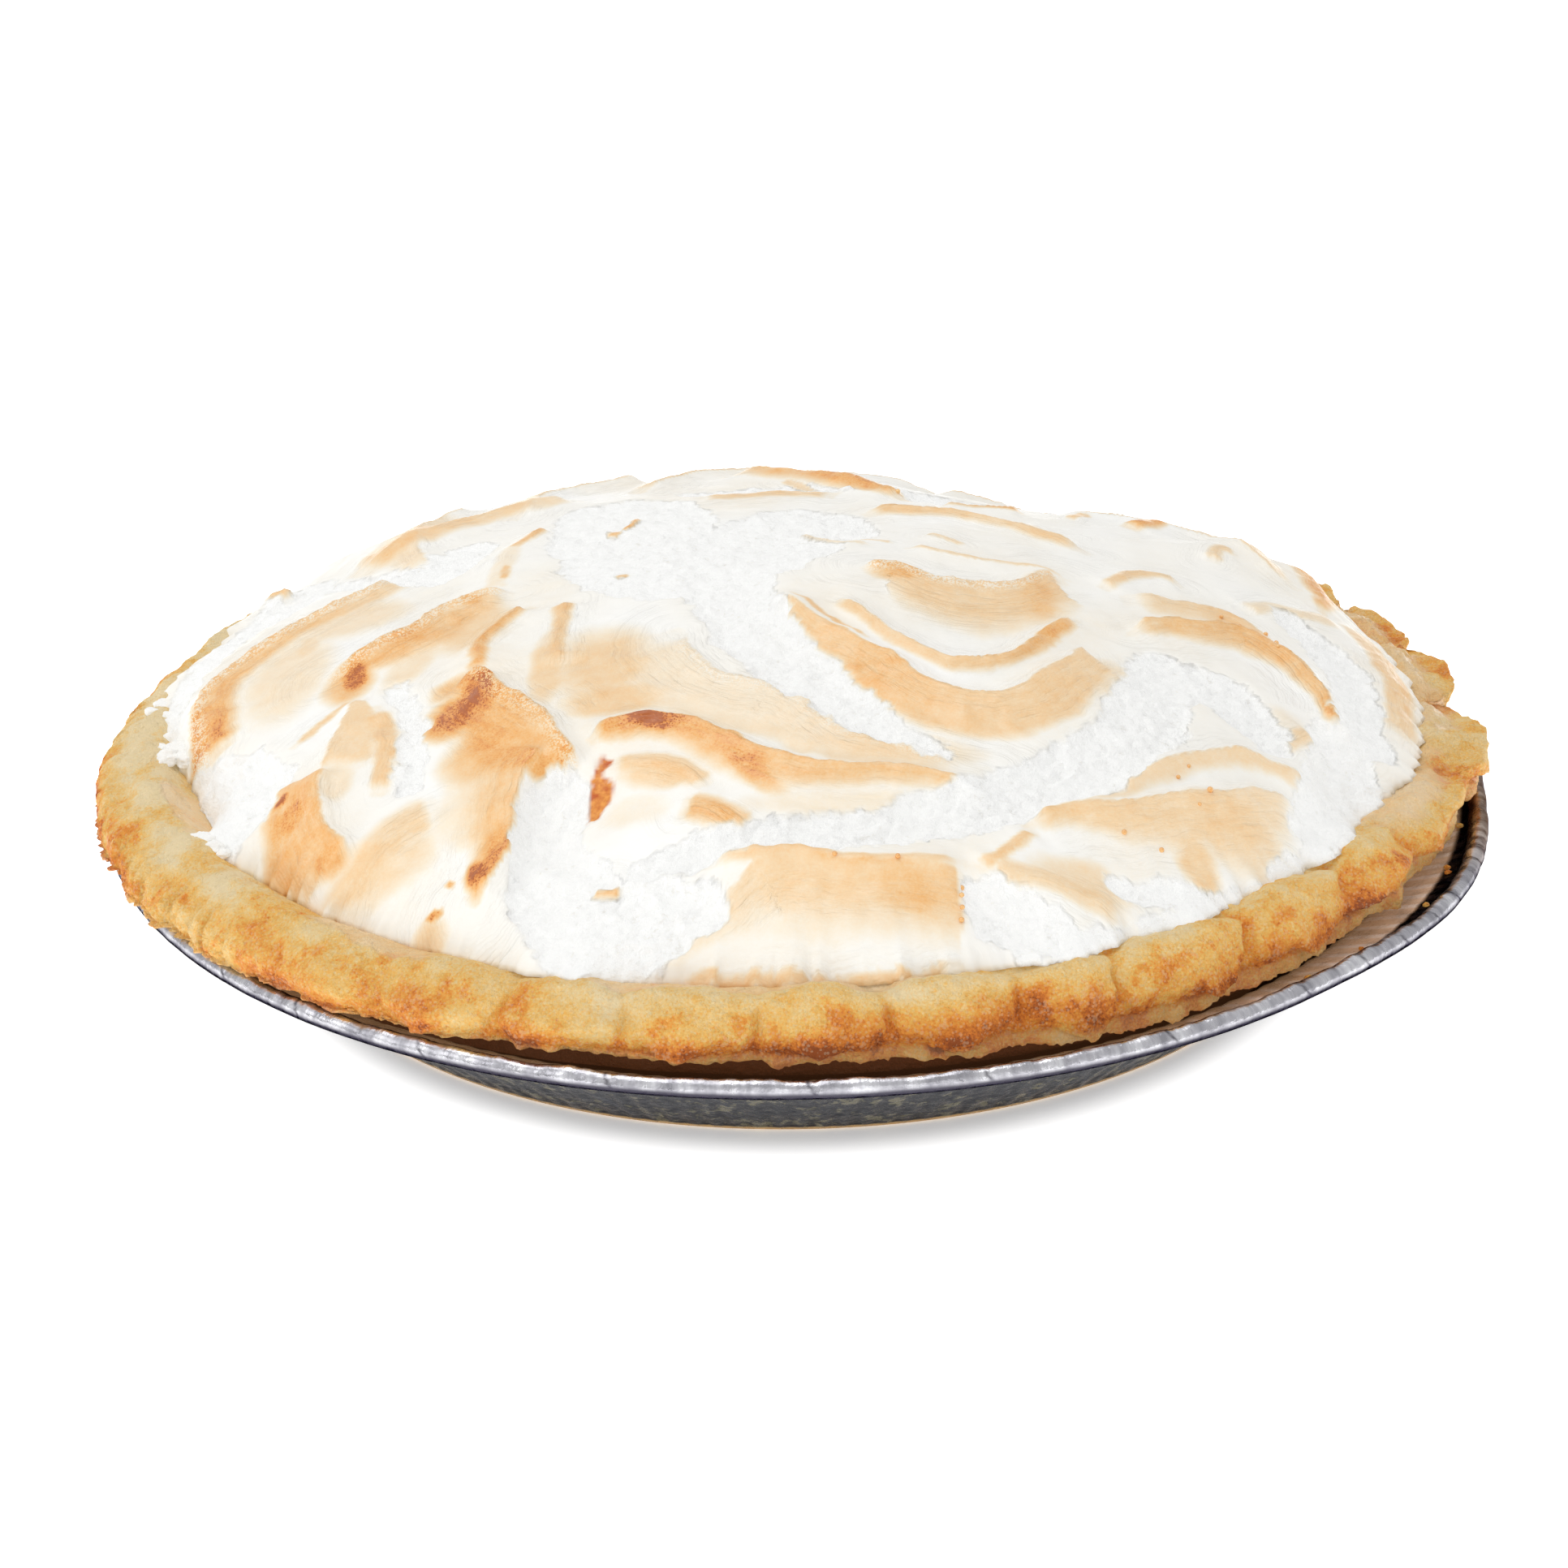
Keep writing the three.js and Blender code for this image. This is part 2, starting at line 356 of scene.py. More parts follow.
def finish_piece(obj: Piece, slot: Slot, material: Material, *nodes: str) -> None:
    """Smooth, dress and bind a finished piece.

    Args:
        obj: The piece, whose place is in its mesh.
        slot: The record's slot for the piece. It is not used.
        material: Its material.
        nodes: The CAD nodes it stands for.
    """
    deselect()
    bpy.context.view_layer.objects.active = obj
    obj.select_set(True)
    bpy.ops.object.shade_smooth()
    obj.vertex_groups.clear()
    obj.data.materials.clear()
    obj.data.materials.append(material)
    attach(obj, BODY)
    if nodes:
        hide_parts(*nodes)
    log.info("%s: %d faces", obj.name, len(obj.data.polygons))


@dataclass(frozen=True)
class TurnedGrid:
    """A closed cylinder whose side is a grid, bent into a body turned about the pie's axis."""

    name: str
    columns: int
    rows: int

    def build(self) -> tuple[Piece, Array, Array]:
        """Add the cylinder and cut its side into rows.

        Returns:
            The piece, and for each vertex its column and its row. The middles of the two ends have column -1.
        """
        deselect()
        bpy.ops.mesh.primitive_cylinder_add(vertices=self.columns, radius=1, depth=1, end_fill_type="TRIFAN")
        obj = bpy.context.object
        obj.name = self.name
        ends = edge_ends(obj)
        height = points_of(obj)[:, 2]
        select_edges(obj, np.abs(height[ends[:, 0]] - height[ends[:, 1]]) > 1)
        bpy.ops.mesh.subdivide(number_cuts=self.rows - 2)
        bpy.ops.object.mode_set(mode="OBJECT")
        at = points_of(obj) * MM
        angle, radius = polar(at)
        columns = np.round(angle / TAU * self.columns).astype(int) % self.columns
        columns[radius < 0.5] = -1
        rows = np.round((at[:, 2] + 0.5) * (self.rows - 1)).astype(int)
        return obj, columns, rows

    def bend(self, obj: Piece, columns: Array, rows: Array, grid: Array) -> None:
        """Move the grid onto a profile.

        Args:
            obj: The piece.
            columns: Each vertex's column.
            rows: Each vertex's row.
            grid: Radius and height for every column and row, in millimetres.
        """
        radius, height = grid[columns, rows].T
        radius = np.where(columns < 0, 0.0, radius)
        place_points(obj, np.column_stack([on_circle(TAU * columns / self.columns, radius), height]))


# Shader work


def display(red: int, green: int, blue: int) -> tuple[float, float, float, float]:
    """Turn a colour as seen on a screen, 0 to 255, into the shader's linear colour."""
    linear = [((c / 255 + 0.055) / 1.055) ** 2.4 if c > 10 else c / 255 / 12.92 for c in (red, green, blue)]
    return (*linear, 1.0)


class Graph:
    """Short calls that add nodes to one tree and wire them."""

    def __init__(self, tree: bpy.types.NodeTree) -> None:
        """Work on this tree."""
        self.tree = tree

    def add(self, kind: str, inputs: dict | None = None, **settings: object) -> bpy.types.Node:
        """Add a node.

        Args:
            kind: The node's type.
            inputs: Values or source sockets by input name or number.
            settings: The node's own properties.

        Returns:
            The new node.
        """
        node = self.tree.nodes.new(kind)
        for key, value in settings.items():
            setattr(node, key, value)
        self.fill(node, inputs or {})
        return node

    def fill(self, node: bpy.types.Node, inputs: dict) -> None:
        """Feed several inputs of a node, by name or number."""
        for key, value in inputs.items():
            self.feed(node.inputs[key], value)

    def feed(self, socket: Socket, value: object) -> None:
        """Feed an input.

        Args:
            socket: The input.
            value: A source socket, which is wired to it, or the input's own value.
        """
        if isinstance(value, Socket):
            self.tree.links.new(value, socket)
        else:
            socket.default_value = value

    def math(self, operation: str, a: object, b: object = 0.0, clamp: bool = False) -> Socket:
        """Combine two numbers and return the result's socket."""
        return self.add("ShaderNodeMath", {0: a, 1: b}, operation=operation, use_clamp=clamp).outputs[0]

    def plus(self, a: object, b: object, clamp: bool = False) -> Socket:
        """Add two numbers and return the result's socket."""
        return self.math("ADD", a, b, clamp)

    def minus(self, a: object, b: object) -> Socket:
        """Take the second number from the first and return the result's socket."""
        return self.math("SUBTRACT", a, b)

    def times(self, a: object, b: object) -> Socket:
        """Multiply two numbers and return the result's socket."""
        return self.math("MULTIPLY", a, b)

    def ease(self, value: object, low: float, high: float, to: Place = (0.0, 1.0)) -> Socket:
        """Map a range smoothly onto another and return the result's socket."""
        inputs = {"Value": value, "From Min": low, "From Max": high, "To Min": to[0], "To Max": to[1]}
        return self.add("ShaderNodeMapRange", inputs, interpolation_type="SMOOTHSTEP").outputs[0]

    def mix(self, factor: object, a: object, b: object) -> Socket:
        """Mix two colours and return the result's socket."""
        return self.add("ShaderNodeMix", {0: factor, 6: a, 7: b}, data_type="RGBA").outputs[2]

    def cloud(self, vector: object, size: float, detail: float, rough: float = 0.55) -> Socket:
        """Add noise whose lumps are about size millimetres wide and return its value's socket."""
        inputs = {"Vector": vector, "Scale": 1 / (size * MM), "Detail": detail, "Roughness": rough}
        return self.add("ShaderNodeTexNoise", inputs).outputs[0]

    def ramp(self, factor: object, stops: tuple[tuple[float, Colour], ...]) -> Socket:
        """Turn a number into a colour.

        Args:
            factor: The number.
            stops: Numbers and their colours, in rising order.

        Returns:
            The colour's socket.
        """
        node = self.add("ShaderNodeValToRGB", {0: factor})
        elements = node.color_ramp.elements
        elements.remove(elements[1])
        for k, (at, colour) in enumerate(stops):
            element = elements[0] if k == 0 else elements.new(at)
            element.position = at
            element.color = display(*colour)
        return node.outputs[0]

    def painted(self, name: str, output: str = "Fac") -> Socket:
        """Read a painted number, or a painted vector from that output, and return its socket."""
        return self.add("ShaderNodeAttribute", attribute_name=name, attribute_type="GEOMETRY").outputs[output]

    def coordinates(self) -> Socket:
        """Return the object coordinates' socket."""
        return self.add("ShaderNodeTexCoord").outputs["Object"]

    def bump(self, height: object, depth: float) -> Socket:
        """Add a bump of this depth in millimetres and return the normal's socket."""
        inputs = {"Height": height, "Distance": depth * MM, "Strength": 1.0}
        return self.add("ShaderNodeBump", inputs).outputs[0]

    def group(self, tree: bpy.types.NodeTree, inputs: dict) -> bpy.types.Node:
        """Place a shared effect with its own values."""
        return self.add("ShaderNodeGroup", inputs, node_tree=tree)


def new_effect(name: str, numbers: dict[str, float], outputs: tuple[str, ...]) -> tuple[Graph, dict, dict]:
    """Start a shared effect as a shader node group.

    Args:
        name: The group's name.
        numbers: Its number inputs with their first values. A Vector input comes before them.
        outputs: Its number outputs.

    Returns:
        A graph on the group, its input sockets by name, and its output sockets by name.
    """
    tree = bpy.data.node_groups.new(name, "ShaderNodeTree")
    tree.interface.new_socket("Vector", in_out="INPUT", socket_type="NodeSocketVector")
    for key, value in numbers.items():
        tree.interface.new_socket(key, in_out="INPUT", socket_type="NodeSocketFloat").default_value = value
    for key in outputs:
        tree.interface.new_socket(key, in_out="OUTPUT", socket_type="NodeSocketFloat")
    graph = Graph(tree)
    entry = graph.add("NodeGroupInput")
    leave = graph.add("NodeGroupOutput")
    return graph, {s.name: s for s in entry.outputs if s.name}, {s.name: s for s in leave.inputs if s.name}


class Effects:
    """The surface effects that several finishes share."""

    def __init__(self) -> None:
        """Build each effect once."""
        self.speckle = self.build_speckle()
        self.grain = self.build_grain()

    @staticmethod
    def build_speckle() -> bpy.types.NodeTree:
        """Build scattered round specks: Scale sets their spacing, Cover how much they fill.

        Returns:
            The group.
        """
        graph, inputs, outputs = new_effect("speckle", {"Scale": 900.0, "Cover": 0.3}, ("Mask",))
        cell = graph.add("ShaderNodeTexVoronoi", {"Vector": inputs["Vector"], "Scale": inputs["Scale"]})
        spread = graph.times(inputs["Scale"], 0.31)
        patch = graph.add("ShaderNodeTexNoise", {"Vector": inputs["Vector"], "Scale": spread, "Detail": 2.0})
        size = graph.times(patch.outputs[0], inputs["Cover"])
        inside = graph.minus(size, cell.outputs["Distance"])
        graph.feed(outputs["Mask"], graph.ease(inside, -0.04, 0.08))
        return graph.tree

    @staticmethod
    def build_grain() -> bpy.types.NodeTree:
        """Build a fine crumbly relief: Scale sets the grains, Pits how deep the holes among them go.

        Returns:
            The group.
        """
        graph, inputs, outputs = new_effect("crumb_grain", {"Scale": 1200.0, "Pits": 0.5}, ("Height",))
        at = inputs["Vector"]
        noise_inputs = {"Vector": at, "Scale": inputs["Scale"], "Detail": 5.0, "Roughness": 0.65}
        fine = graph.add("ShaderNodeTexNoise", noise_inputs)
        wide = graph.times(inputs["Scale"], 0.35)
        holes = graph.add("ShaderNodeTexVoronoi", {"Vector": at, "Scale": wide}, feature="SMOOTH_F1")
        sunk = graph.times(holes.outputs["Distance"], inputs["Pits"])
        graph.feed(outputs["Height"], graph.plus(fine.outputs[0], sunk))
        return graph.tree

    def specks(self, graph: Graph, at: object, scale: float, cover: float) -> Socket:
        """Place the specks in a graph and return their mask's socket."""
        return graph.group(self.speckle, {"Vector": at, "Scale": scale, "Cover": cover}).outputs["Mask"]

    def grains(self, graph: Graph, at: object, scale: float, pits: float) -> Socket:
        """Place the crumbly relief in a graph and return its height's socket."""
        return graph.group(self.grain, {"Vector": at, "Scale": scale, "Pits": pits}).outputs["Height"]


def new_finish(name: str) -> tuple[Material, Graph, bpy.types.Node]:
    """Start a material.

    Args:
        name: The material's name.

    Returns:
        The material, a graph on its nodes and its surface shader.
    """
    material = bpy.data.materials.new(name)
    material.use_nodes = True
    return material, Graph(material.node_tree), material.node_tree.nodes["Principled BSDF"]


@dataclass(frozen=True)
class MeringueFinish:
    """White foam with a toasted skin. The painted toast runs from 0, raw, to 1, dark brown.

    The foam glow stands for the light that raw foam scatters inside itself.
    """

    stops: tuple[tuple[float, Colour], ...] = (
        (0.0, (255, 255, 253)),
        (0.1, (251, 248, 240)),
        (0.26, (248, 234, 210)),
        (0.45, (245, 215, 173)),
        (0.6, (243, 199, 143)),
        (0.74, (240, 180, 108)),
        (0.86, (231, 156, 82)),
        (0.94, (214, 130, 62)),
        (1.0, (180, 98, 46)),
    )
    foam_glow: float = 0.055

    def build(self, effects: Effects) -> Material:
        """Build the material.

        Args:
            effects: The shared surface effects.

        Returns:
            The material.
        """
        material, graph, shader = new_finish("toasted_meringue")
        material.cycles.emission_sampling = "NONE"
        at = graph.coordinates()
        toast = graph.painted("toast")
        torn = graph.painted("torn")
        combing = {"Vector": graph.painted("sweep", "Vector"), "Scale": 1.0, "Detail": 3.0}
        lines = graph.add("ShaderNodeTexNoise", combing).outputs[0]
        streak = graph.times(graph.minus(lines, 0.5), graph.painted("combed"))
        cloudy = graph.times(graph.cloud(at, 3.0, 4.0), 0.55)
        fine = graph.times(graph.cloud(at, 0.5, 2.0), 0.35)
        uneven = graph.plus(graph.plus(cloudy, fine), graph.times(streak, 0.42))
        level = graph.times(toast, graph.plus(uneven, 0.55))
        brown = graph.ease(toast, 0.55, 0.95, (0.0, 0.16))
        level = graph.plus(level, graph.times(effects.specks(graph, at, 2400.0, 0.8), brown), clamp=True)
        white = graph.times(effects.specks(graph, at, 2600.0, 1.0), graph.painted("frost"))
        level = graph.times(level, graph.minus(1.0, graph.times(white, 0.8)))
        skin = graph.ramp(level, self.stops)
        # Painted shade in the torn foam's pits: a grey is mixed in where a cloudy pattern dips.
        hollow = graph.times(graph.ease(graph.cloud(at, 2.4, 5.0, 0.7), 0.43, 0.28), torn)
        skin = graph.mix(graph.times(hollow, 0.5), skin, display(216, 213, 206))
        syrup = graph.ramp(graph.cloud(at, 1.8, 4.0), ((0.35, (196, 92, 26)), (0.62, (236, 158, 70))))
        rough = graph.plus(graph.ease(toast, 0.0, 0.5, (0.5, 0.34)), graph.times(torn, 0.45), clamp=True)
        glaze = graph.times(graph.ease(streak, -0.06, 0.12), graph.ease(torn, 0.6, 0.1))
        pits = effects.grains(graph, at, 1100.0, 0.9)
        fluff = graph.times(pits, graph.ease(torn, 0.0, 1.0, (0.08, 1.0)))
        ridges = graph.times(streak, graph.ease(torn, 0.8, 0.2, (0.0, 1.1)))
        graph.fill(shader, {
            "Base Color": graph.mix(graph.painted("amber"), skin, syrup),
            "Roughness": rough,
            "Coat Weight": graph.times(glaze, 0.45),
            "Coat Roughness": 0.16,
            "Specular IOR Level": 0.4,
            "Emission Color": WHITE,
            "Emission Strength": graph.times(torn, self.foam_glow),
            "Normal": graph.bump(graph.plus(fluff, ridges), 0.5),
        })
        return material


@dataclass(frozen=True)
class PastryFinish:
    """Baked shortcrust, from pale where it was floured to orange brown where the oven caught it.

    The warmth stands for the light that crust scatters inside itself.
    """

    stops: tuple[tuple[float, Colour], ...] = (
        (0.0, (255, 231, 182)),
        (0.25, (255, 215, 140)),
        (0.45, (254, 197, 102)),
        (0.62, (248, 166, 70)),
        (0.78, (232, 134, 50)),
        (0.9, (204, 110, 44)),
        (1.0, (166, 86, 38)),
    )
    warmth: float = 0.13

    def build(self, effects: Effects) -> Material:
        """Build the material.

        Args:
            effects: The shared surface effects.

        Returns:
            The material.
        """
        material, graph, shader = new_finish("baked_pastry")
        material.cycles.emission_sampling = "NONE"
        at = graph.coordinates()
        bake_and_shade = graph.painted("bake_and_shade")
        glaze = graph.painted("glaze")
        wide = graph.minus(graph.cloud(at, 12.0, 3.0), 0.5)
        caught = graph.ease(graph.cloud(at, 6.0, 5.0, 0.66), 0.5, 0.6, (-0.05, 0.1))
        small = graph.minus(graph.cloud(at, 2.8, 5.0, 0.68), 0.5)
        fine = graph.minus(graph.cloud(at, 0.45, 2.0), 0.5)
        level = graph.plus(graph.plus(bake_and_shade, graph.times(wide, 0.8)), caught)
        level = graph.plus(graph.plus(level, graph.times(small, 0.55)), graph.times(fine, 0.55))
        level = graph.plus(level, graph.times(effects.specks(graph, at, 900.0, 0.4), 0.12), clamp=True)
        baked = graph.ramp(level, self.stops)
        wept = graph.mix(0.6, baked, display(240, 202, 160))
        flour = graph.times(effects.specks(graph, at, 1500.0, 0.75), 0.2)
        baked = graph.mix(flour, baked, display(255, 236, 200))
        colour = graph.mix(glaze, baked, wept)
        # Painted shade: where the baked level runs past 1.3, on the rim's underside, the colour turns dark
        # brown.
        colour = graph.mix(graph.ease(bake_and_shade, 1.3, 1.7), colour, display(122, 76, 46))
        dry = graph.ease(small, -0.3, 0.3, (0.45, 0.75))
        lumps = graph.times(graph.cloud(at, 1.6, 4.0, 0.6), 1.6)
        bumps = graph.plus(effects.grains(graph, at, 1500.0, 0.7), lumps)
        relief = graph.times(bumps, graph.ease(glaze, 0.2, 1.0, (1.0, 0.7)))
        graph.fill(shader, {
            "Base Color": colour,
            "Emission Color": colour,
            "Emission Strength": self.warmth,
            "Coat Weight": graph.times(glaze, 0.5),
            "Coat Roughness": 0.2,
            "Roughness": graph.minus(dry, graph.times(glaze, 0.3)),
            "Specular IOR Level": 0.34,
            "Normal": graph.bump(relief, 1.25),
        })
        return material


@dataclass(frozen=True)
class FoilFinish:
    """Thin crinkled aluminium: bright along the curl, brown with juice on the flange, dark on the wall.

    The bounce stands for the warm light that the crust throws onto the flange.
    """

    ribs: float
    bounce: float = 0.13
    wall_top: float = 18.9
    flange_edge: float = 118.6
    # The curl's colours along its crinkles, lighter and darker as painted reflections.
    curl_stops: tuple[tuple[float, Colour], ...] = (
        (0.32, (166, 165, 172)),
        (0.5, (199, 198, 204)),
        (0.68, (236, 236, 240)),
    )

    def build(self, effects: Effects) -> Material:
        """Build the material.

        Args:
            effects: The shared surface effects.

        Returns:
            The material.
        """
        material, graph, shader = new_finish("pie_foil")
        material.cycles.emission_sampling = "NONE"
        at = graph.coordinates()
        x, y, height = graph.add("ShaderNodeSeparateXYZ", {0: at}).outputs
        bearing = graph.math("ARCTAN2", y, x)
        flat = graph.add("ShaderNodeVectorMath", {0: at, 1: (1.0, 1.0, 0.0)}, operation="MULTIPLY").outputs[0]
        radius = graph.add("ShaderNodeVectorMath", {0: flat}, operation="LENGTH").outputs["Value"]
        turn = graph.times(bearing, 0.12)
        slant = {0: graph.plus(turn, graph.times(height, 0.7)), 1: graph.times(height, 0.15)}
        slanted = graph.add("ShaderNodeCombineXYZ", slant).outputs[0]
        across = graph.add("ShaderNodeCombineXYZ", {0: turn, 1: graph.times(height, 0.25)}).outputs[0]
        wall = graph.ease(height, self.wall_top * MM, (self.wall_top - 1) * MM)
        stain = graph.ease(graph.cloud(at, 4.5, 5.0, 0.75), 0.52, 0.6)
        baked = graph.times(graph.times(stain, effects.specks(graph, at, 520.0, 1.25)), wall)
        # Painted reflection: the wall's dark colours stand in for the shade the foil reflects there, and the
        # sheen adds painted lighter slanted streaks.
        dark = graph.mix(graph.cloud(at, 1.5, 3.0), display(36, 38, 48), display(24, 26, 33))
        sheen = graph.ease(graph.cloud(slanted, 3.4, 3.0), 0.56, 0.76, (0.0, 0.3))
        dark = graph.mix(sheen, dark, display(88, 92, 106))
        dark = graph.mix(graph.times(baked, 0.8), dark, display(102, 96, 68))
        dark = graph.mix(graph.ease(height, 0.9 * MM, 0.3 * MM), dark, display(214, 178, 124))
        # Painted reflections: the curl's colour runs lighter and darker along its crinkles.
        wrinkles = graph.cloud(across, 2.4, 5.0, 0.55)
        bright = graph.ramp(wrinkles, self.curl_stops)
        bright = graph.mix(graph.times(graph.painted("seam"), 0.85), bright, display(66, 62, 72))
        # The curl's inner edge is browner: tarnish, deepened as painted shade where the crust overhangs it.
        tarnish_and_shade = graph.ease(graph.cloud(at, 4.0, 4.0), 0.38, 0.58, (0.4, 0.95))
        tarnish_and_shade = graph.times(tarnish_and_shade, graph.ease(radius, 121.2 * MM, 119.9 * MM))
        bright = graph.mix(tarnish_and_shade, bright, display(150, 118, 82))
        stale = graph.ease(graph.math("ABSOLUTE", graph.plus(bearing, 0.1)), 0.34, 0.14, (0.0, 0.6))
        bright = graph.mix(stale, bright, display(176, 142, 104))
        # Painted shade on the curl's lower half.
        bright = graph.mix(graph.ease(height, 23.6 * MM, 22.4 * MM), bright, display(74, 72, 82))
        inner = graph.ease(radius, self.flange_edge * MM, (self.flange_edge - 1.2) * MM)
        film = graph.times(graph.ease(graph.cloud(at, 5.0, 4.0), 0.25, 0.6, (0.75, 1.0)), inner)
        film = graph.times(film, graph.minus(1.0, wall))
        # Painted highlights and shade on the flange's pleats: the juice film is lighter on each rib's crest
        # and darker between the ribs.
        rib_light_and_shade = graph.ease(graph.math("COSINE", graph.times(bearing, self.ribs)), 0.95, -0.2)
        juice = graph.mix(rib_light_and_shade, display(255, 252, 250), display(232, 212, 194))
        bright = graph.mix(film, bright, juice)
        dull = graph.math("MAXIMUM", graph.ease(baked, 0.0, 0.6, (0.0, 0.9)), film)
        dull = graph.math("MAXIMUM", dull, graph.times(wall, 0.7))
        creases = graph.plus(graph.cloud(at, 3.2, 4.0, 0.6), graph.times(wrinkles, 0.3))
        graph.fill(shader, {
            "Base Color": graph.mix(wall, bright, dark),
            "Specular Tint": display(92, 92, 98),
            "Emission Color": display(238, 186, 132),
            "Emission Strength": graph.times(film, self.bounce),
            "Metallic": graph.minus(1.0, graph.times(dull, 0.95)),
            "Roughness": graph.ease(graph.cloud(at, 1.8, 3.0), 0.3, 0.7, (0.18, 0.4)),
            "Normal": graph.bump(creases, 0.34),
        })
        return material


@dataclass(frozen=True)
class SyrupFinish:
    """Beads and drips of amber syrup."""

    def build(self) -> Material:
        """Build the material.

        Returns:
            The material.
        """
        material, graph, shader = new_finish("amber_syrup")
        at = graph.coordinates()
        amber = graph.ramp(graph.cloud(at, 1.4, 3.0), ((0.3, (232, 156, 76)), (0.7, (248, 206, 140))))
        rough = graph.ease(graph.cloud(at, 0.8, 2.0), 0.3, 0.7, (0.06, 0.2))
        graph.fill(shader, {"Base Color": amber, "Roughness": rough, "Coat Weight": 0.6})
        return material


@dataclass(frozen=True)
class FloorFinish:
    """The plain pale sweep that the tin stands on. It glows, weakly under the tin and strongly around it.

    Near and far each hold a distance from a point a little in front of the pie's axis and the glow there. The
    weaker glow near the tin is a painted shadow.
    """

    near: Place = (88.0, 0.34)
    far: Place = (98.0, 0.92)
    ahead: float = 5.0

    def build(self) -> Material:
        """Build the material.

        Returns:
            The material.
        """
        material, graph, shader = new_finish("studio_floor")
        from_point = {0: graph.coordinates(), 1: (0.0, self.ahead * MM, 0.0)}
        offset = graph.add("ShaderNodeVectorMath", from_point, operation="ADD").outputs[0]
        reach = graph.add("ShaderNodeVectorMath", {0: offset}, operation="LENGTH").outputs["Value"]
        glow = graph.ease(reach, self.near[0] * MM, self.far[0] * MM, (self.near[1], self.far[1]))
        graph.fill(shader, {
            "Base Color": display(250, 250, 250),
            "Emission Color": WHITE,
            "Emission Strength": glow,
            "Roughness": 0.9,
            "Specular IOR Level": 0.0,
        })
        return material


# The tin


@dataclass
class FoilTin:
    """One sheet of foil: flat base, ribbed wall and flange, and a rolled curl at the rim."""

    hub: float = 20.0
    rim: float = 122.5
    base: float = 92.0
    curl_top: float = 24.5
    curl: float = 1.6
    wall_radius: float = 109.5
    wall_height: float = 18.5
    slope: float = 0.3
    foil: float = 0.7
    ribs: int = 168
    rib_depth: float = 0.35
    bulge_bearing: float = -26.0
    bulge_spread: float = 22.0
    bulge: float = 2.2
    seams: tuple[float, ...] = (
        -8, -20, -27, -31, -36, -41, -48, -61, -76, -89, -104, -119, -131, -140, -155, 15, 36, 52, 77, 98,
        118, 139, 161,
    )

    def flange(self, radius: Array | float) -> Array | float:
        """Return the height of the flange's upper side at a radius."""
        return self.wall_height + self.slope * (radius - self.wall_radius)

    def profile(self, angle: Array) -> Array:
        """Work out the tin's section at every angle.

        Args:
            angle: The columns' angles in radians.

        Returns:
            Radius and height for every column and row, in millimetres.
        """
        middle = self.rim - self.curl + self.bulge * around(angle, self.bulge_bearing, self.bulge_spread)
        end = middle - self.curl
        flat = np.zeros_like(angle)
        rib = self.rib_depth * np.cos(self.ribs * angle)
        ring = on_circle(angle, self.rim)
        dents = 0.2 * mottle(ring, 9.0, 2, 1.0) + 0.1 * mottle(ring, 2.2, 1, 2.0)
        for seam in self.seams:
            dents -= 0.08 * around(angle, seam, 0.3)
        size = self.curl + dents
        rows = [(flat + self.hub, flat)]

        def walk(*stretches: tuple[int, tuple[Array, Array]]) -> None:
            """Go on in even steps.

            Args:
                stretches: Counts of steps and the radius and height to reach by them.
            """
            for count, goal in stretches:
                start = rows[-1]
                for k in range(1, count + 1):
                    rows.append(tuple(a + (b - a) * k / count for a, b in zip(start, goal)))

        walk(
            (4, (flat + self.base - 0.8, flat)),
            (3, (self.base + 0.3 + 0.4 * rib, flat + 1.4)),
            (7, (self.wall_radius + self.foil + 0.4 * rib, flat + self.wall_height - self.foil)),
            (5, (end - 0.6, self.flange(end) - self.foil + rib)),
        )
        for turn in np.radians(np.linspace(-100, 150, 14)):
            height = self.curl_top - self.curl + dents + size * np.sin(turn)
            rows.append((middle + size * np.cos(turn), height))
        walk(
            (2, (end - 0.8, self.flange(end) + rib * 0.5)),
            (8, (self.wall_radius + 0.4 * rib, flat + self.wall_height)),
            (3, (flat + self.base - 0.4, flat + 1.95)),
            (2, (flat + self.base - 1.6, flat + self.foil)),
            (2, (flat + self.hub, flat + self.foil)),
        )
        return np.array([np.column_stack(pair) for pair in rows]).transpose(1, 0, 2)

    def seam_lines(self, points: Array) -> Array:
        """Find the seams of the curl, where the foil was pleated and rolled over.

        Args:
            points: Vertices in millimetres.

        Returns:
            How far each place lies in a seam, from 0 to 1.
        """
        angle, _ = polar(points)
        lean = np.radians(0.35) * (points[:, 2] - self.curl_top + self.curl)
        dark = np.zeros(len(points))
        for seam in self.seams:
            dark = np.maximum(dark, around(angle + lean, seam, 0.22))
        return dark * smooth(self.curl_top - 2.6 * self.curl, self.curl_top - 2.0 * self.curl, points[:, 2])

    def build(self, effects: Effects) -> Piece:
        """Build the tin.

        Args:
            effects: The shared surface effects.

        Returns:
            The dressed piece.
        """
        columns = 8 * self.ribs
        section = self.profile(TAU * np.arange(columns) / columns)
        grid = TurnedGrid("foil_tin", columns, section.shape[1])
        obj, column, row = grid.build()
        grid.bend(obj, column, row, section)
        paint(obj, "seam", self.seam_lines(points_of(obj)))
        finish_piece(obj, Slot.FOIL, FoilFinish(self.ribs).build(effects), "tin")
        return obj


# The pie's own outline, which the pastry and the meringue share


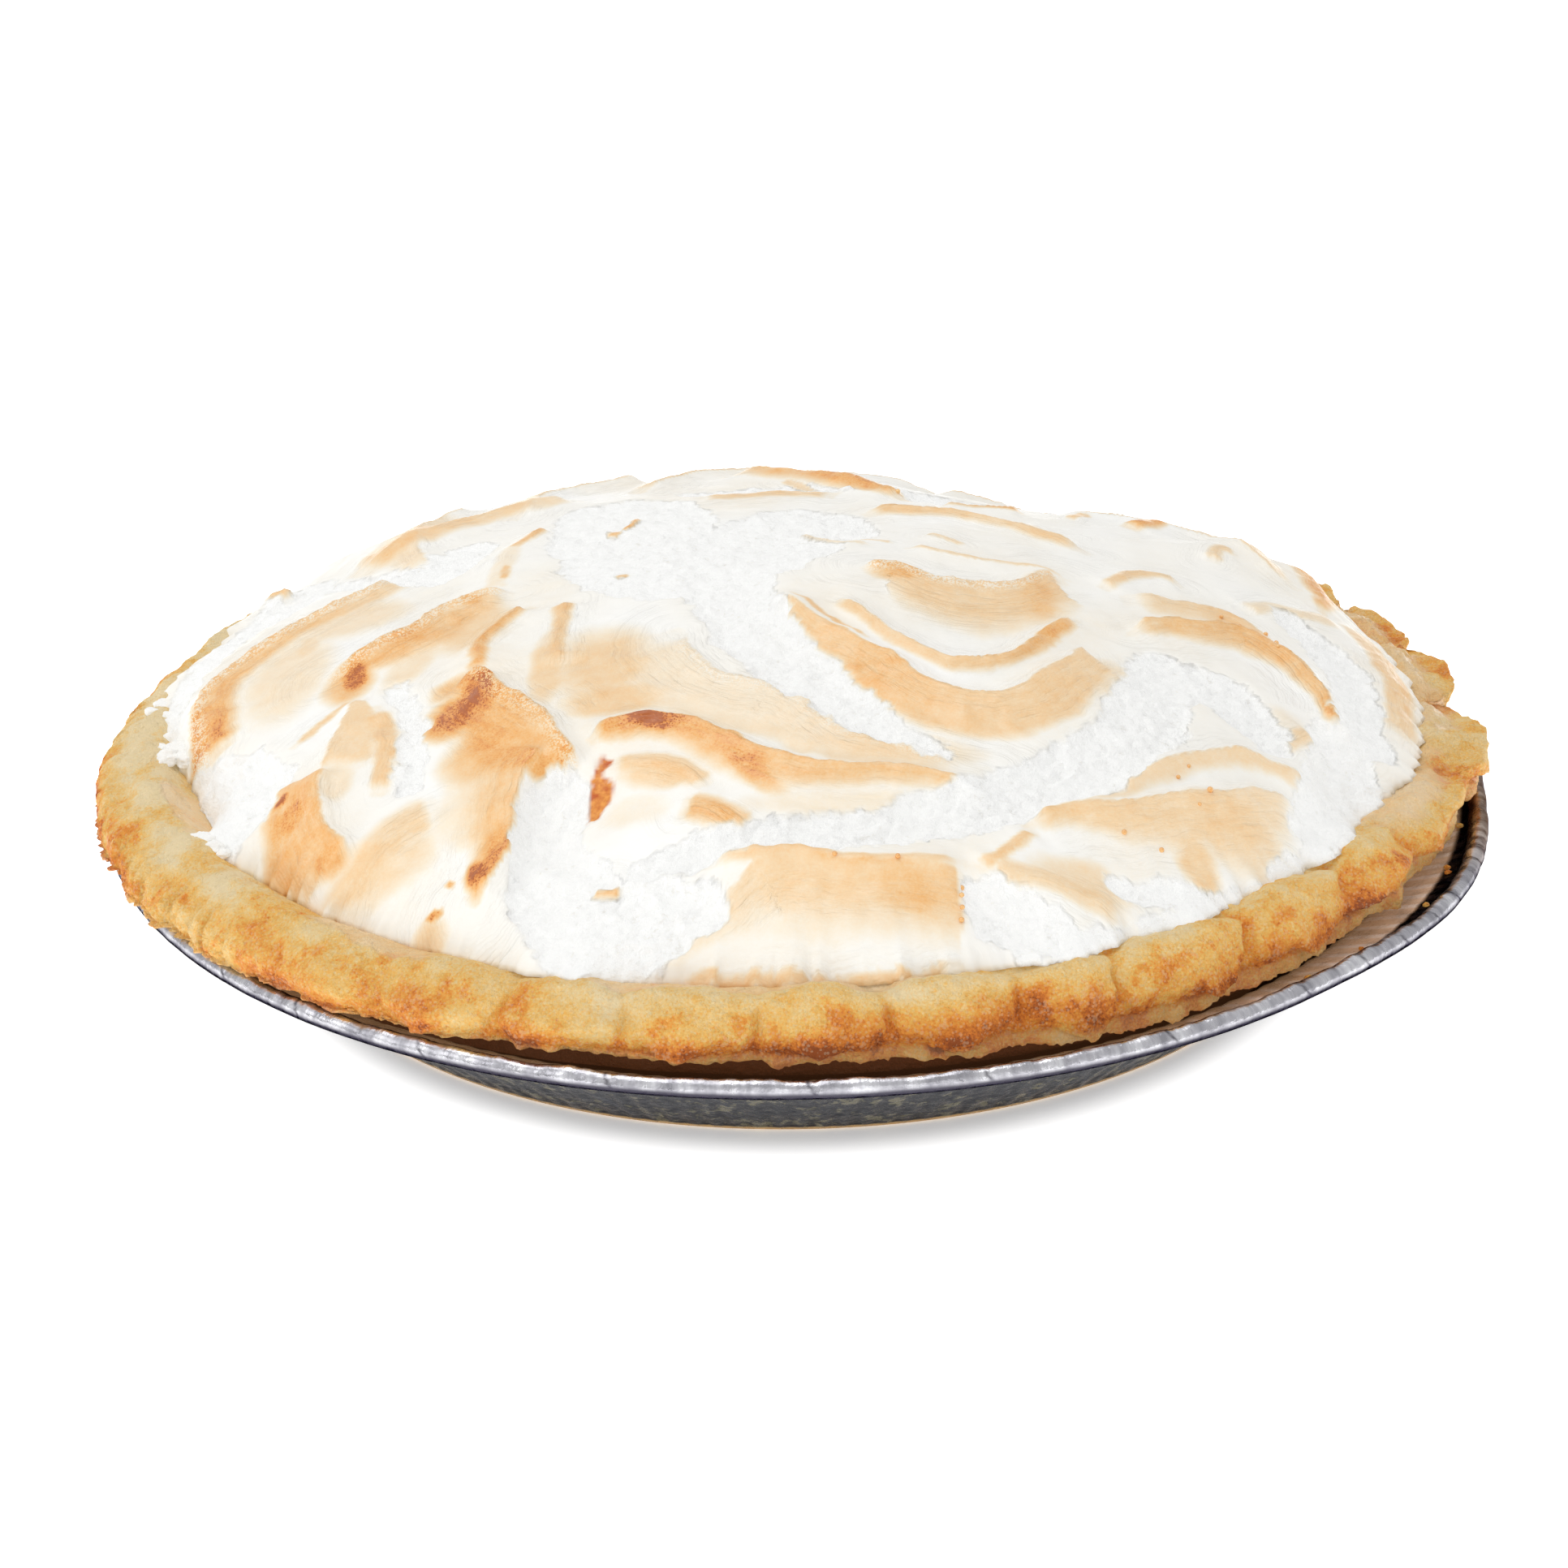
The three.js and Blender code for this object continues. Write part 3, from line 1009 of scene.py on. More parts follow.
@dataclass(frozen=True)
class Outline:
    """How far the pastry and the meringue reach: narrowest towards one bearing, wider to both sides.

    Along the back the pastry is drawn in and the meringue spreads over it. The tables of that hold bearings
    and the changes there, and run round from the right to the left.
    """

    narrow_bearing: float = -60.0
    narrow_spread: float = 95.0
    crust_wide: float = 122.6
    crust_narrow: float = 114.0
    meringue_wide: float = 111.2
    meringue_narrow: float = 106.2
    crust_drawn: tuple[Place, ...] = (
        (-158, 0.4), (-146, 0), (-112, 0), (-96, -1), (-80, -1), (-64, 0), (-20, 0), (-14, 0.8), (-9, 3),
        (-3, 1.9), (0, -0.4), (4, -1.4), (8, -0.2), (14, 0.6), (24, -0.8), (32, 0.2), (40, 1.8), (50, -1),
        (60, -3), (125, -3), (146, -3.4), (156, -3.8), (162, -2.8), (168, -1.4), (174, -0.6), (180, 0.4),
        (190, 0.8),
    )
    meringue_drawn: tuple[Place, ...] = ((36, 0.0), (50, 2.2), (125, 2.4), (150, 1.6), (172, 0.4), (182, 0.0))

    def crust(self, angle: Array) -> Array:
        """Work out the pastry's outline.

        Args:
            angle: Angles in radians.

        Returns:
            The pastry's mean radius at each angle.
        """
        share = around(angle, self.narrow_bearing, self.narrow_spread)
        drawn = by_bearing(angle, self.crust_drawn)
        return self.crust_wide + (self.crust_narrow - self.crust_wide) * share + drawn

    def meringue(self, angle: Array) -> Array:
        """Work out the meringue's outline.

        Args:
            angle: Angles in radians.

        Returns:
            The meringue's radius at each angle.
        """
        share = around(angle, self.narrow_bearing, self.narrow_spread)
        drawn = by_bearing(angle, self.meringue_drawn)
        return self.meringue_wide + (self.meringue_narrow - self.meringue_wide) * share + drawn


# The pastry


@dataclass(frozen=True)
class Flake:
    """A place where the rolled rim's lower lip broke open and stands out."""

    bearing: float
    spread: float
    out: float
    drop: float
    tone: float


@dataclass(frozen=True)
class Patch:
    """A browner or paler patch of crust, its size along the rim and up it."""

    bearing: float
    height: float
    size: Place
    tone: float


@dataclass(frozen=True)
class Weep:
    """A stretch where syrup wept from the meringue and glazed the crust."""

    bearing: float
    spread: float
    reach: float


FLAKES: tuple[Flake, ...] = (
    Flake(-88.6, 2, 1, 0.8, 0.32),
    Flake(-77.8, 2.6, 1.5, 0.8, 0.42),
    Flake(-66.2, 2.6, 1.4, 2.8, 0.28),
    Flake(-53.6, 2.8, 1.8, 1.3, 0.34),
    Flake(-42.5, 3.4, 1.5, 1.6, 0.22),
    Flake(-35, 4.4, 1.7, -0.8, 0.22),
    Flake(-99.6, 2.8, 1.4, 1, 0.18),
    Flake(-111.5, 1.6, 0.8, 0.4, 0.25),
    Flake(-120, 2.2, 0.7, 0.6, 0.2),
    Flake(-22, 3, 1, 1, 0.15),
    Flake(-8, 2.4, 1.2, 0.6, 0.1),
    Flake(38, 3, 1.2, 0.8, 0.25),
    Flake(61, 2, 1, 0.4, 0.3),
    Flake(84, 3.6, 1.4, 1.2, 0.25),
    Flake(107, 2.2, 1, 0.6, 0.3),
    Flake(129, 3, 1.3, 0.9, 0.25),
)

PATCHES: tuple[Patch, ...] = tuple(Patch(*row) for row in (
    (-149, 33, (5, 4), 0.2), (-136.8, 33.5, (5, 4), 0.24), (-131, 29.5, (7, 4), 0.16),
    (-120, 31, (6, 3.5), 0.24), (-110, 27.2, (6, 2.2), 0.28), (-98.5, 27.3, (6, 2.2), 0.28),
    (-88.4, 27.8, (5, 2.2), 0.26), (-78.5, 28.4, (6, 3), 0.26), (-79.3, 24.3, (1.3, 1.2), 0.6),
    (-73.5, 28.8, (10, 3), 0.2), (-56, 28.5, (16, 4), 0.12), (-143, 32, (12, 4), 0.08),
    (-68.2, 30.4, (6, 3.4), 0.12), (-43.2, 27.8, (8, 3), 0.16), (-30, 31, (7, 3), 0.16),
    (-8, 33.5, (3, 2), 0.2), (-5, 31, (12, 5), -0.2), (-20, 31, (8, 4), -0.1), (165, 33, (8, 5), 0.3),
    (151, 33, (9, 5), 0.4), (-160, 33.5, (6, 3), 0.22), (-145, 28.3, (7, 2.6), -0.16),
    (-115.5, 29.3, (6, 2.6), -0.2), (-105.4, 31.2, (4, 2.8), -0.18), (-105, 28.3, (4, 2), -0.16),
    (-94, 28.6, (5, 1.6), -0.18), (-81.7, 33, (9, 1.8), -0.2), (-61.9, 30.3, (6, 2.6), -0.2),
    (-52.6, 29.8, (6, 2.2), -0.16), (20, 32, (12, 3), 0.2), (75, 29, (14, 4), 0.16),
    (112, 30, (12, 4), -0.14),
))

CREASES: tuple[float, ...] = (
    -168, -156, -145, -134, -124, -114, -104, -93.6, -82.7, -72, -63.6, -50, -37, -26, -11, 4.2, 16.8, 28.6,
    40, 50, 60, 71, 82, 94, 105, 117, 128, 140, 152, 163, 176,
)

LAYERS: tuple[Place, ...] = (
    (-160, 1), (-125, 1), (-105, 1.6), (-92, 2.4), (-72, 3.4), (-45, 4), (-20, 4.2), (10, 3.6), (60, 3.2),
    (120, 3.2), (150, 1.8),
)

WEEPS: tuple[Weep, ...] = (
    Weep(-90, 17, 2.4),
    Weep(-128, 9, 6),
    Weep(-104, 6, 3.4),
    Weep(-17, 13, 12),
    Weep(6, 14, 13),
    Weep(27, 14, 13),
    Weep(-162, 8, 3.4),
    Weep(70, 14, 4),
    Weep(140, 16, 4),
)


@dataclass
class Pastry:
    """The crust: a rolled, finger-crimped rim that lies over the flange, on a thin lower layer.

    Steps hold how many rows the grid has from each key point of the section to the next. The edge's noise is
    read along a circle of the noise radius, so that it depends on the angle alone.
    """

    outline: Outline
    tin: FoilTin
    columns: int = 1280
    steps: tuple[int, ...] = (1, 2, 1, 2, 3, 2, 4, 4, 4, 3, 5, 9, 10, 5, 3, 2, 1)
    noise_radius: float = 115.0
    overhang: float = 8.0
    clearance: float = 0.3
    slant: float = 1.5
    under: float = 22.9
    lift: float = 1.9
    lift_bearing: float = -116.0
    lift_spread: float = 36.0
    sag: float = 2.0
    sag_bearing: float = -58.0
    sag_spread: float = 34.0
    bed: float = 31.0
    bed_margin: float = 4.6
    crest: float = 34.8
    crest_width: float = 3.0
    crimp_depth: float = 1.3
    pinch_depth: float = 1.9
    lump_bearing: float = 21.0
    lump_spread: float = 36.0
    lump_depth: float = 4.4
    low_bearing: float = 98.0
    low_spread: float = 60.0
    thin_bearing: float = 184.0
    thin_spread: float = 54.0
    caught_bearing: float = -173.0
    caught_spread: float = 26.0
    reach: Array = field(default_factory=lambda: np.empty(0))

    def thin(self, angle: Array) -> Array:
        """Return how far each angle lies in the left end, where the rim is thin."""
        return smooth(0.0, 0.45, around(angle, self.thin_bearing, self.thin_spread))

    def lumpy(self, angle: Array) -> Array:
        """Return how far each angle lies in the right end, where the rim is lumpy rather than crimped."""
        return around(angle, self.lump_bearing, self.lump_spread) ** 0.5

    def rest(self, angle: Array) -> Array:
        """Work out how high the rim's underside lies. It lifts at the front left and over the curl.

        Args:
            angle: Angles in radians.

        Returns:
            The underside's height at each angle.
        """
        low = self.under + self.lift * around(angle, self.lift_bearing, self.lift_spread)
        low -= self.sag * around(angle, self.sag_bearing, self.sag_spread)
        over = self.tin.curl_top + self.clearance
        return low + (np.maximum(over, low) - low) * smooth(116.0, 119.2, self.outline.crust(angle))

    def layer(self, angle: Array) -> Array:
        """Return the lower layer's thickness at each angle."""
        return by_bearing(angle, LAYERS)

    def creases(self, angle: Array) -> tuple[Array, Array, Array]:
        """Work out where the crimps are.

        Args:
            angle: Angles in radians.

        Returns:
            How far each angle lies in a crimp's broad valley, in its sharp pinch and between two lobes.
        """
        ring = on_circle(angle, self.noise_radius)
        stops = np.array([CREASES[-1] - 360.0, *CREASES, CREASES[0] + 360.0])
        turn = np.interp(turned(angle), stops, np.arange(len(stops)))
        off = np.abs((turn + 0.5) % 1.0 - 0.5)
        force = np.clip(0.85 + 0.9 * mottle(ring, 13.0, 1, 9.0), 0.3, 1.5)
        force *= 1 - 0.8 * around(angle, self.thin_bearing, 1.3 * self.thin_spread) ** 0.5
        lobe = np.clip(1 - off / 0.5, 0, 1) ** 2.4 * np.clip(force, 0.8, 1.2)
        return force * (1 - smooth(0.0, 0.42, off)), force * (1 - smooth(0.0, 0.07, off)), lobe

    def broken(self, angle: Array) -> tuple[Array, Array, Array]:
        """Work out the broken lips.

        Args:
            angle: Angles in radians.

        Returns:
            How far the lips stand out at each angle, how far they hang and how brown they are.
        """
        out = np.zeros_like(angle)
        drop = np.zeros_like(angle)
        tone = np.zeros_like(angle)
        for flake in FLAKES:
            share = around(angle, flake.bearing, flake.spread)
            out += flake.out * share**0.5
            drop += flake.drop * share
            tone += flake.tone * share**0.5
        return out, drop, tone

    def keys(self, angle: Array) -> list[tuple[Array, Array]]:
        """Work out the section's key points.

        Args:
            angle: The columns' angles in radians.

        Returns:
            Radius and height at every angle for each key point, from the base's middle round to the bed's.
        """
        ring = on_circle(angle, self.noise_radius)
        thin = self.thin(angle)
        lumpy = self.lumpy(angle)
        valley, pinch, lobe = self.creases(angle)
        low_back = around(angle, self.low_bearing, self.low_spread) ** 0.4
        wave = mottle(ring, 14.0, 2, 3.0)
        ragged = mottle(ring, 2.6, 4, 5.0)
        jag = mottle(ring, 5.0, 3, 7.0)
        lip, drop, _ = self.broken(angle)
        mean = self.outline.crust(angle) + 0.9 * wave * (1 - 0.5 * lumpy)
        nibbles = 2.0 * np.minimum(mottle(ring, 1.1, 2, 12.0), 0.1) * thin
        out = mean + 0.5 + nibbles - self.crimp_depth * valley * (1 - 0.6 * thin) * (1 - lumpy)
        out = out - self.lump_depth * lobe * lumpy
        rest = self.rest(angle)
        flange_end = self.tin.rim - 2 * self.tin.curl - 2.0
        under = np.clip(mean - self.overhang, self.tin.wall_radius - 1.0, flange_end)
        edge = self.outline.meringue(angle)
        crest = self.crest + 0.8 * mottle(ring, 11.0, 2, 8.0) - 1.2 * valley * (1 - lumpy)
        crest = crest - (2.2 * lobe + 0.3) * lumpy - 2.6 * low_back + 0.8 * thin
        layer = self.layer(angle)
        cleft = np.clip(0.9 + 1.4 * mottle(ring, 9.0, 2, 11.0), 0.1, 2.2) + 1.1 * lip
        cleft *= np.clip(layer / 3.4, 0.2, 1.0)
        split = rest + layer + 0.22 * layer * jag
        low = out - 0.9 * (1 - thin) + 1.1 * ragged + 0.5 * jag
        belly = out + 0.2 - self.pinch_depth * pinch
        flat = np.zeros_like(angle)
        return [
            (flat + self.tin.hub, flat + 1.0),
            (flat + self.tin.base - 3.0, flat + 1.0),
            (flat + self.tin.wall_radius - 1.45, flat + self.tin.wall_height + 0.2),
            (under, self.tin.flange(under) + 0.75),
            (np.minimum(under + 1.2, mean - 2.0), rest),
            (low - 1.0, rest + 0.2),
            (low, rest + np.minimum(0.8, 0.4 * layer) + 0.3 * jag * (1 - thin)),
            (low - 0.4 * ragged, split - np.minimum(1.1, 0.3 * layer)),
            (out - 0.4 - cleft * (1 - 0.6 * thin), split - 0.1),
            (out - 0.5 + lip + 0.5 * ragged, split + 0.3 - drop),
            (out + 0.9 * lip + 0.3 * ragged, split + 1.3 - 0.7 * drop),
            (belly - 0.9 * thin, split + 3.2 + 1.2 * thin),
            (out * 0.55 + edge * 0.45 + 1.6 - 0.7 * self.pinch_depth * pinch, crest - 2.4),
            (edge + self.crest_width + 0.6, crest - 0.1 - 0.6 * pinch),
            (edge + 0.8, crest - 0.5),
            (edge - 1.0, flat + 33.4),
            (edge - self.bed_margin, flat + self.bed),
            (flat + self.tin.hub, flat + self.bed),
        ]

    def section(self, angle: Array) -> Array:
        """Round the section between its key points.

        Args:
            angle: The columns' angles in radians.

        Returns:
            Radius and height for every column and row.
        """
        keys = np.array([np.column_stack(pair) for pair in self.keys(angle)])
        padded = np.concatenate([keys[:1], keys, keys[-1:]])
        rows = [keys[0]]
        for k, count in enumerate(self.steps):
            a, b, c, d = padded[k : k + 4]
            for t in np.arange(1, count + 1) / count:
                rows.append(curve(a, b, c, d, t) if 3 < k < 15 else b + (c - b) * t)
        return np.array(rows).transpose(1, 0, 2)

    def bake_and_shade(self, points: Array) -> Array:
        """Work out how brown each place of the crust is.

        Args:
            points: Vertices in millimetres.

        Returns:
            0 for pale, 1 for dark brown, and about 2 for the underside, which is painted dark as shade.
        """
        angle, radius = polar(points)
        height = points[:, 2]
        thin = self.thin(angle)
        lumpy = self.lumpy(angle)
        mean = self.outline.crust(angle)
        split = self.rest(angle) + self.layer(angle)
        _, _, torn = self.broken(angle)
        valley, pinch, lobe = self.creases(angle)
        level = 0.37 + 0.1 * smooth(-6.0, 0.5, radius - mean) + 0.14 * smooth(31.5, 26.5, height) * (1 - thin)
        level -= (0.13 + 0.17 * thin) * smooth(31.5, 34.5, height)
        # Painted shade in the crimps' valleys; the lumps at the right end are browner.
        level += (0.1 * valley * (1 - lumpy) + 0.06 * lobe * lumpy) * smooth(34.5, 31.0, height)
        level += (0.75 * torn + 0.04) * smooth(2.2, 0.4, np.abs(height - split - 0.4))
        level -= 0.14 * smooth(0.4, -1.4, height - split)
        # Painted shade: a little darker just over the rim's underside, and dark brown on the underside
        # itself, in the gap over the flange.
        level += 0.06 * smooth(0.9, 0.1, height - self.rest(angle))
        level += 1.8 * smooth(-2.5, -4.5, radius - mean) * smooth(1.0, 0.3, height - self.rest(angle))
        # Painted shade in the crimps' pinches.
        level += 0.12 * pinch * smooth(34.0, 32.0, height) * smooth(26.0, 29.0, height)
        level -= 0.08 * thin * smooth(27.0, 29.0, height)
        for patch in PATCHES:
            along = turned(angle, patch.bearing) * 2.0 / patch.size[0]
            up = (height - patch.height) / patch.size[1]
            level += patch.tone * np.exp(-along**2 - up**2)
        reach = np.interp(angle, TAU * np.arange(len(self.reach)) / len(self.reach), self.reach, period=TAU)
        caught = around(angle, self.caught_bearing, self.caught_spread) ** 0.4
        return level + 0.4 * caught * smooth(-1.0, -0.2, radius - reach)

    def glaze(self, points: Array) -> Array:
        """Work out where syrup wept onto the crust.

        Args:
            points: Vertices in millimetres.

        Returns:
            How thickly the syrup covers each place, from 0 to 1.
        """
        angle, radius = polar(points)
        off = radius - self.outline.meringue(angle)
        patchy = 0.35 * mottle(points, 5.0, 3, 2.0)
        cover = np.zeros(len(points))
        for weep in WEEPS:
            share = around(angle, weep.bearing, weep.spread) ** 0.4
            cover = np.maximum(cover, share * smooth(weep.reach, 0.3 * weep.reach, off))
        wept = np.where(cover > 0.05, smooth(0.35, 0.75, cover + patchy), 0.0) * 0.8
        greasy = 0.4 * smooth(0.2, -0.8, points[:, 2] - self.rest(angle) - self.layer(angle))
        return np.maximum(wept, greasy)

    def lean(self, points: Array) -> Array:
        """Turn places a little about the pie's axis, more the higher they lie, so that the crimps slant.

        Args:
            points: The places in millimetres.

        Returns:
            The turned places.
        """
        wander = mottle(points * (1, 1, 2), 16.0, 2, 14.0)
        turn = np.radians(self.slant) * wander * smooth(26.0, 34.0, points[:, 2])
        c, s = np.cos(turn), np.sin(turn)
        x, y, z = points.T
        return np.column_stack([c * x - s * y, s * x + c * y, z])

    def build(self, effects: Effects) -> Piece:
        """Build the crust.

        Args:
            effects: The shared surface effects.

        Returns:
            The dressed piece.
        """
        section = self.section(TAU * np.arange(self.columns) / self.columns)
        self.reach = section[:, :, 0].max(axis=1)
        grid = TurnedGrid("pastry_crust", self.columns, section.shape[1])
        obj, column, row = grid.build()
        grid.bend(obj, column, row, section)
        points = points_of(obj)
        angle, radius = polar(points)
        shows = smooth(109.0, 112.0, radius) * smooth(19.5, 21.5, points[:, 2])
        shows = np.maximum(shows, smooth(33.0, 34.0, points[:, 2]))
        broken = shows * smooth(30.0, 27.0, points[:, 2])
        lumpy = self.lumpy(angle)
        displace(obj, 7.0, 0.9, group_of(obj, "shows", shows))
        displace(obj, 2.4, 0.38, "shows")
        displace(obj, 4.0, 0.9, group_of(obj, "lumps", shows * lumpy))
        displace(obj, 1.4, 0.4, group_of(obj, "broken", broken), hard=True)
        points = points_of(obj)
        glaze = self.glaze(points)
        displace(obj, 1.8, 0.6, group_of(obj, "crusty", glaze * lumpy * shows), hard=True)
        points = points_of(obj)
        paint(obj, "bake_and_shade", self.bake_and_shade(points))
        paint(obj, "glaze", glaze)
        place_points(obj, self.lean(points))
        finish_piece(obj, Slot.PASTRY, PastryFinish().build(effects), "crust")
        return obj


# The meringue


@dataclass(frozen=True)
class Fold:
    """A crest that a spatula left, with a toasted face on one side of it.

    Widths and tones are spread evenly along the way. Hold is the share of the face that keeps the full tone
    before it fades. Rise is the crest's height over the dome, and back is the width of its other side. An
    islet keeps its skin where the foam around it is torn. Frost is how many white specks its crest carries.
    """

    name: str
    way: tuple[Place, ...]
    width: tuple[float, ...]
    tone: tuple[float, ...]
    side: Side = Side.RIGHT
    hold: float = 0.3
    rise: float = 0.0
    back: float = 6.0
    edge: float = 0.8
    ends: Place = (0.12, 0.12)
    islet: bool = False
    frost: float = 0.0


@dataclass(frozen=True)
class Spot:
    """A soft oval of toast."""

    at: Place
    size: Place
    tone: float
    turn: float = 0.0


@dataclass(frozen=True)
class Tear:
    """A stretch where the skin was torn off and the white foam shows, rough and a little lower."""

    way: tuple[Place, ...]
    width: tuple[float, ...]
    depth: float = 1.0


@dataclass(frozen=True)
class Hollow:
    """A round dip."""

    at: Place
    radius: float
    depth: float


